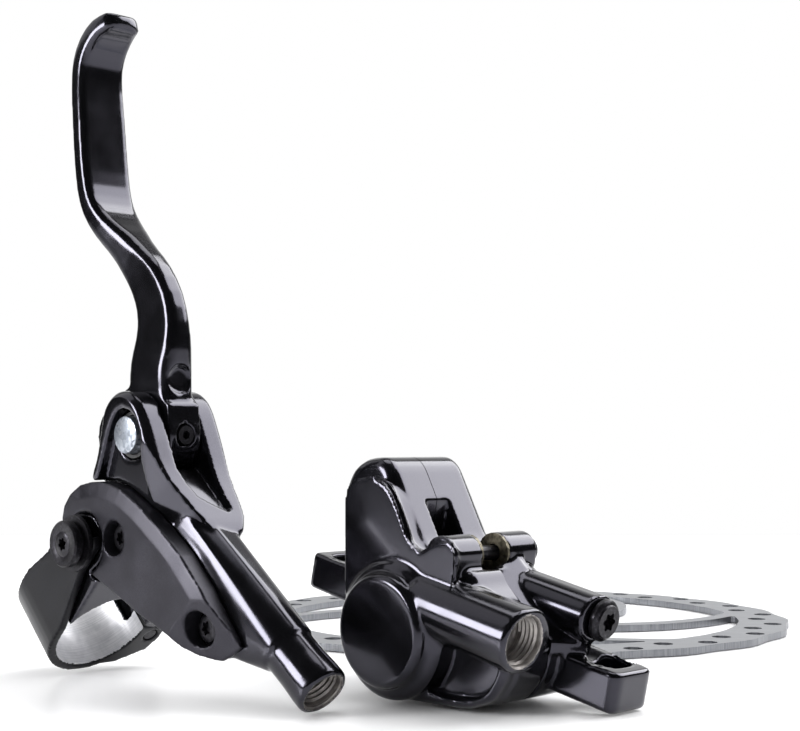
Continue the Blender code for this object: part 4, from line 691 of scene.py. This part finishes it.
def dress_nodes():
    """Nodes whose solids are right keep them, and get their finish."""
    finishes = {OXIDE: ("clamp_washer", "pivot_grub_screw", "body_bolt_rear", "body_bolt_front", "pad_pin",
                        "clamp_hinge_pin"),
                DRAWN: ("push_rod", "piston_circlip", "return_spring", "master_piston"),
                ZINC: ("push_rod_barrel",),
                RUBBER: ("reservoir_bladder", "primary_cup", "secondary_seal", "crossover_seal",
                         "piston_seal_outer", "piston_seal_inner"),
                PHENOLIC: ("piston_outer", "piston_inner"),
                POLYMER: ("pivot_bush_near", "pivot_bush_far"),
                PLATED: ("backing_plate_outer", "backing_plate_inner", "pad_spring"),
                FRICTION: ("friction_pad_outer", "friction_pad_inner"),
                STEEL: ("rotor",)}
    for material, names in finishes.items():
        for name in names:
            node = frame["nodes"][name]
            node.data.materials.clear()
            node.data.materials.append(material)


# Studio
def studio_floor():
    """White table top that ends behind the rotor, where the white of the room takes over."""
    bpy.ops.object.select_all(action="DESELECT")
    bpy.ops.mesh.primitive_plane_add(size=1)
    floor = bpy.context.object
    floor.name = "floor"
    floor.data.transform(Matrix.Translation((0, TABLE_BACK - TABLE_DEPTH / 2, -TABLE_DROP))
                         @ Matrix.Diagonal((TABLE_DEPTH, TABLE_DEPTH, 1, 1)))
    material, tree, shader = new_material("white acrylic table")
    shader.inputs["Base Color"].default_value = linear("#fafafb")
    shader.inputs["Roughness"].default_value = 0.3
    shader.inputs["Specular IOR Level"].default_value = 0.2
    floor.data.materials.append(material)


def soft_box(name, at, size, radiance):
    """A lamp with a square diffuser, aimed at the set; its power follows from how bright it looks."""
    light = bpy.data.lights.new(name, "AREA")
    light.shape = "SQUARE"
    light.size = size
    light.energy = radiance * math.pi * size * size
    obj = bpy.data.objects.new(name, light)
    bpy.context.scene.collection.objects.link(obj)
    obj.location = at
    obj.rotation_euler = (Vector((0, 0, 0.05)) - Vector(at)).to_track_quat("-Z", "Y").to_euler()


def studio_world():
    """A dark room with a white wall behind the table; an even fill keeps the table pale."""
    world = bpy.data.worlds.new("studio")
    bpy.context.scene.world = world
    world.use_nodes = True
    tree = world.node_tree
    tree.nodes.clear()
    way = add(tree, "ShaderNodeTexCoord").outputs["Generated"]
    parts = add(tree, "ShaderNodeSeparateXYZ", Vector=way)
    wall = add(tree, "ShaderNodeMapRange",
               {"From Min": 0.55, "From Max": 0.9, "To Min": 0.02, "To Max": 1.0}, Value=parts.outputs["Y"])
    mirrored = add(tree, "ShaderNodeBackground", {"Color": (1, 1, 1, 1)}, Strength=wall.outputs["Result"])
    fill = add(tree, "ShaderNodeBackground", {"Color": (1, 1, 1, 1), "Strength": 0.55})
    white = add(tree, "ShaderNodeBackground", {"Color": (1, 1, 1, 1), "Strength": 1.0})
    path = add(tree, "ShaderNodeLightPath")
    lit = add(tree, "ShaderNodeMixShader", Fac=path.outputs["Is Glossy Ray"])
    tree.links.new(fill.outputs["Background"], lit.inputs[1])
    tree.links.new(mirrored.outputs["Background"], lit.inputs[2])
    seen = add(tree, "ShaderNodeMixShader", Fac=path.outputs["Is Camera Ray"])
    tree.links.new(lit.outputs["Shader"], seen.inputs[1])
    tree.links.new(white.outputs["Background"], seen.inputs[2])
    add(tree, "ShaderNodeOutputWorld", Surface=seen.outputs["Shader"])


def camera():
    low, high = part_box("rotor")
    middle = Vector(((low[0] + high[0]) / 2, (low[1] + high[1]) / 2, low[2]))
    data = bpy.data.cameras.new("camera")
    data.lens = LENS
    data.sensor_width = 36
    data.clip_start = 0.01
    obj = bpy.data.objects.new("camera", data)
    bpy.context.scene.collection.objects.link(obj)
    obj.location = middle + Vector(CAMERA_FROM_ROTOR) * MM
    obj.rotation_euler = (math.radians(CAMERA_TIP), 0, 0)
    bpy.context.scene.camera = obj


camera()
dress_nodes()
lever_body()
nose_thread()
cover()
cover_screw(COVER_SCREWS[0], "cover_screw_rear")
cover_screw(COVER_SCREWS[1], "cover_screw_front")
blade()
pivot_pin()
clamp_bolt()
clamp_band()
outer_half()
port_thread()
inner_half()
bleed_screw()
studio_floor()
studio_world()
soft_box("left box", at=(-0.46, -0.23, 0.15), size=0.17, radiance=20)
soft_box("upper left panel", at=(-0.63, 0.09, 0.65), size=0.7, radiance=0.9)
soft_box("right box", at=(0.6, 0.25, 0.7), size=0.78, radiance=6)
soft_box("top box", at=(-0.02, 0.1, 0.85), size=0.4, radiance=3)
bpy.context.scene.view_settings.view_transform = "Standard"
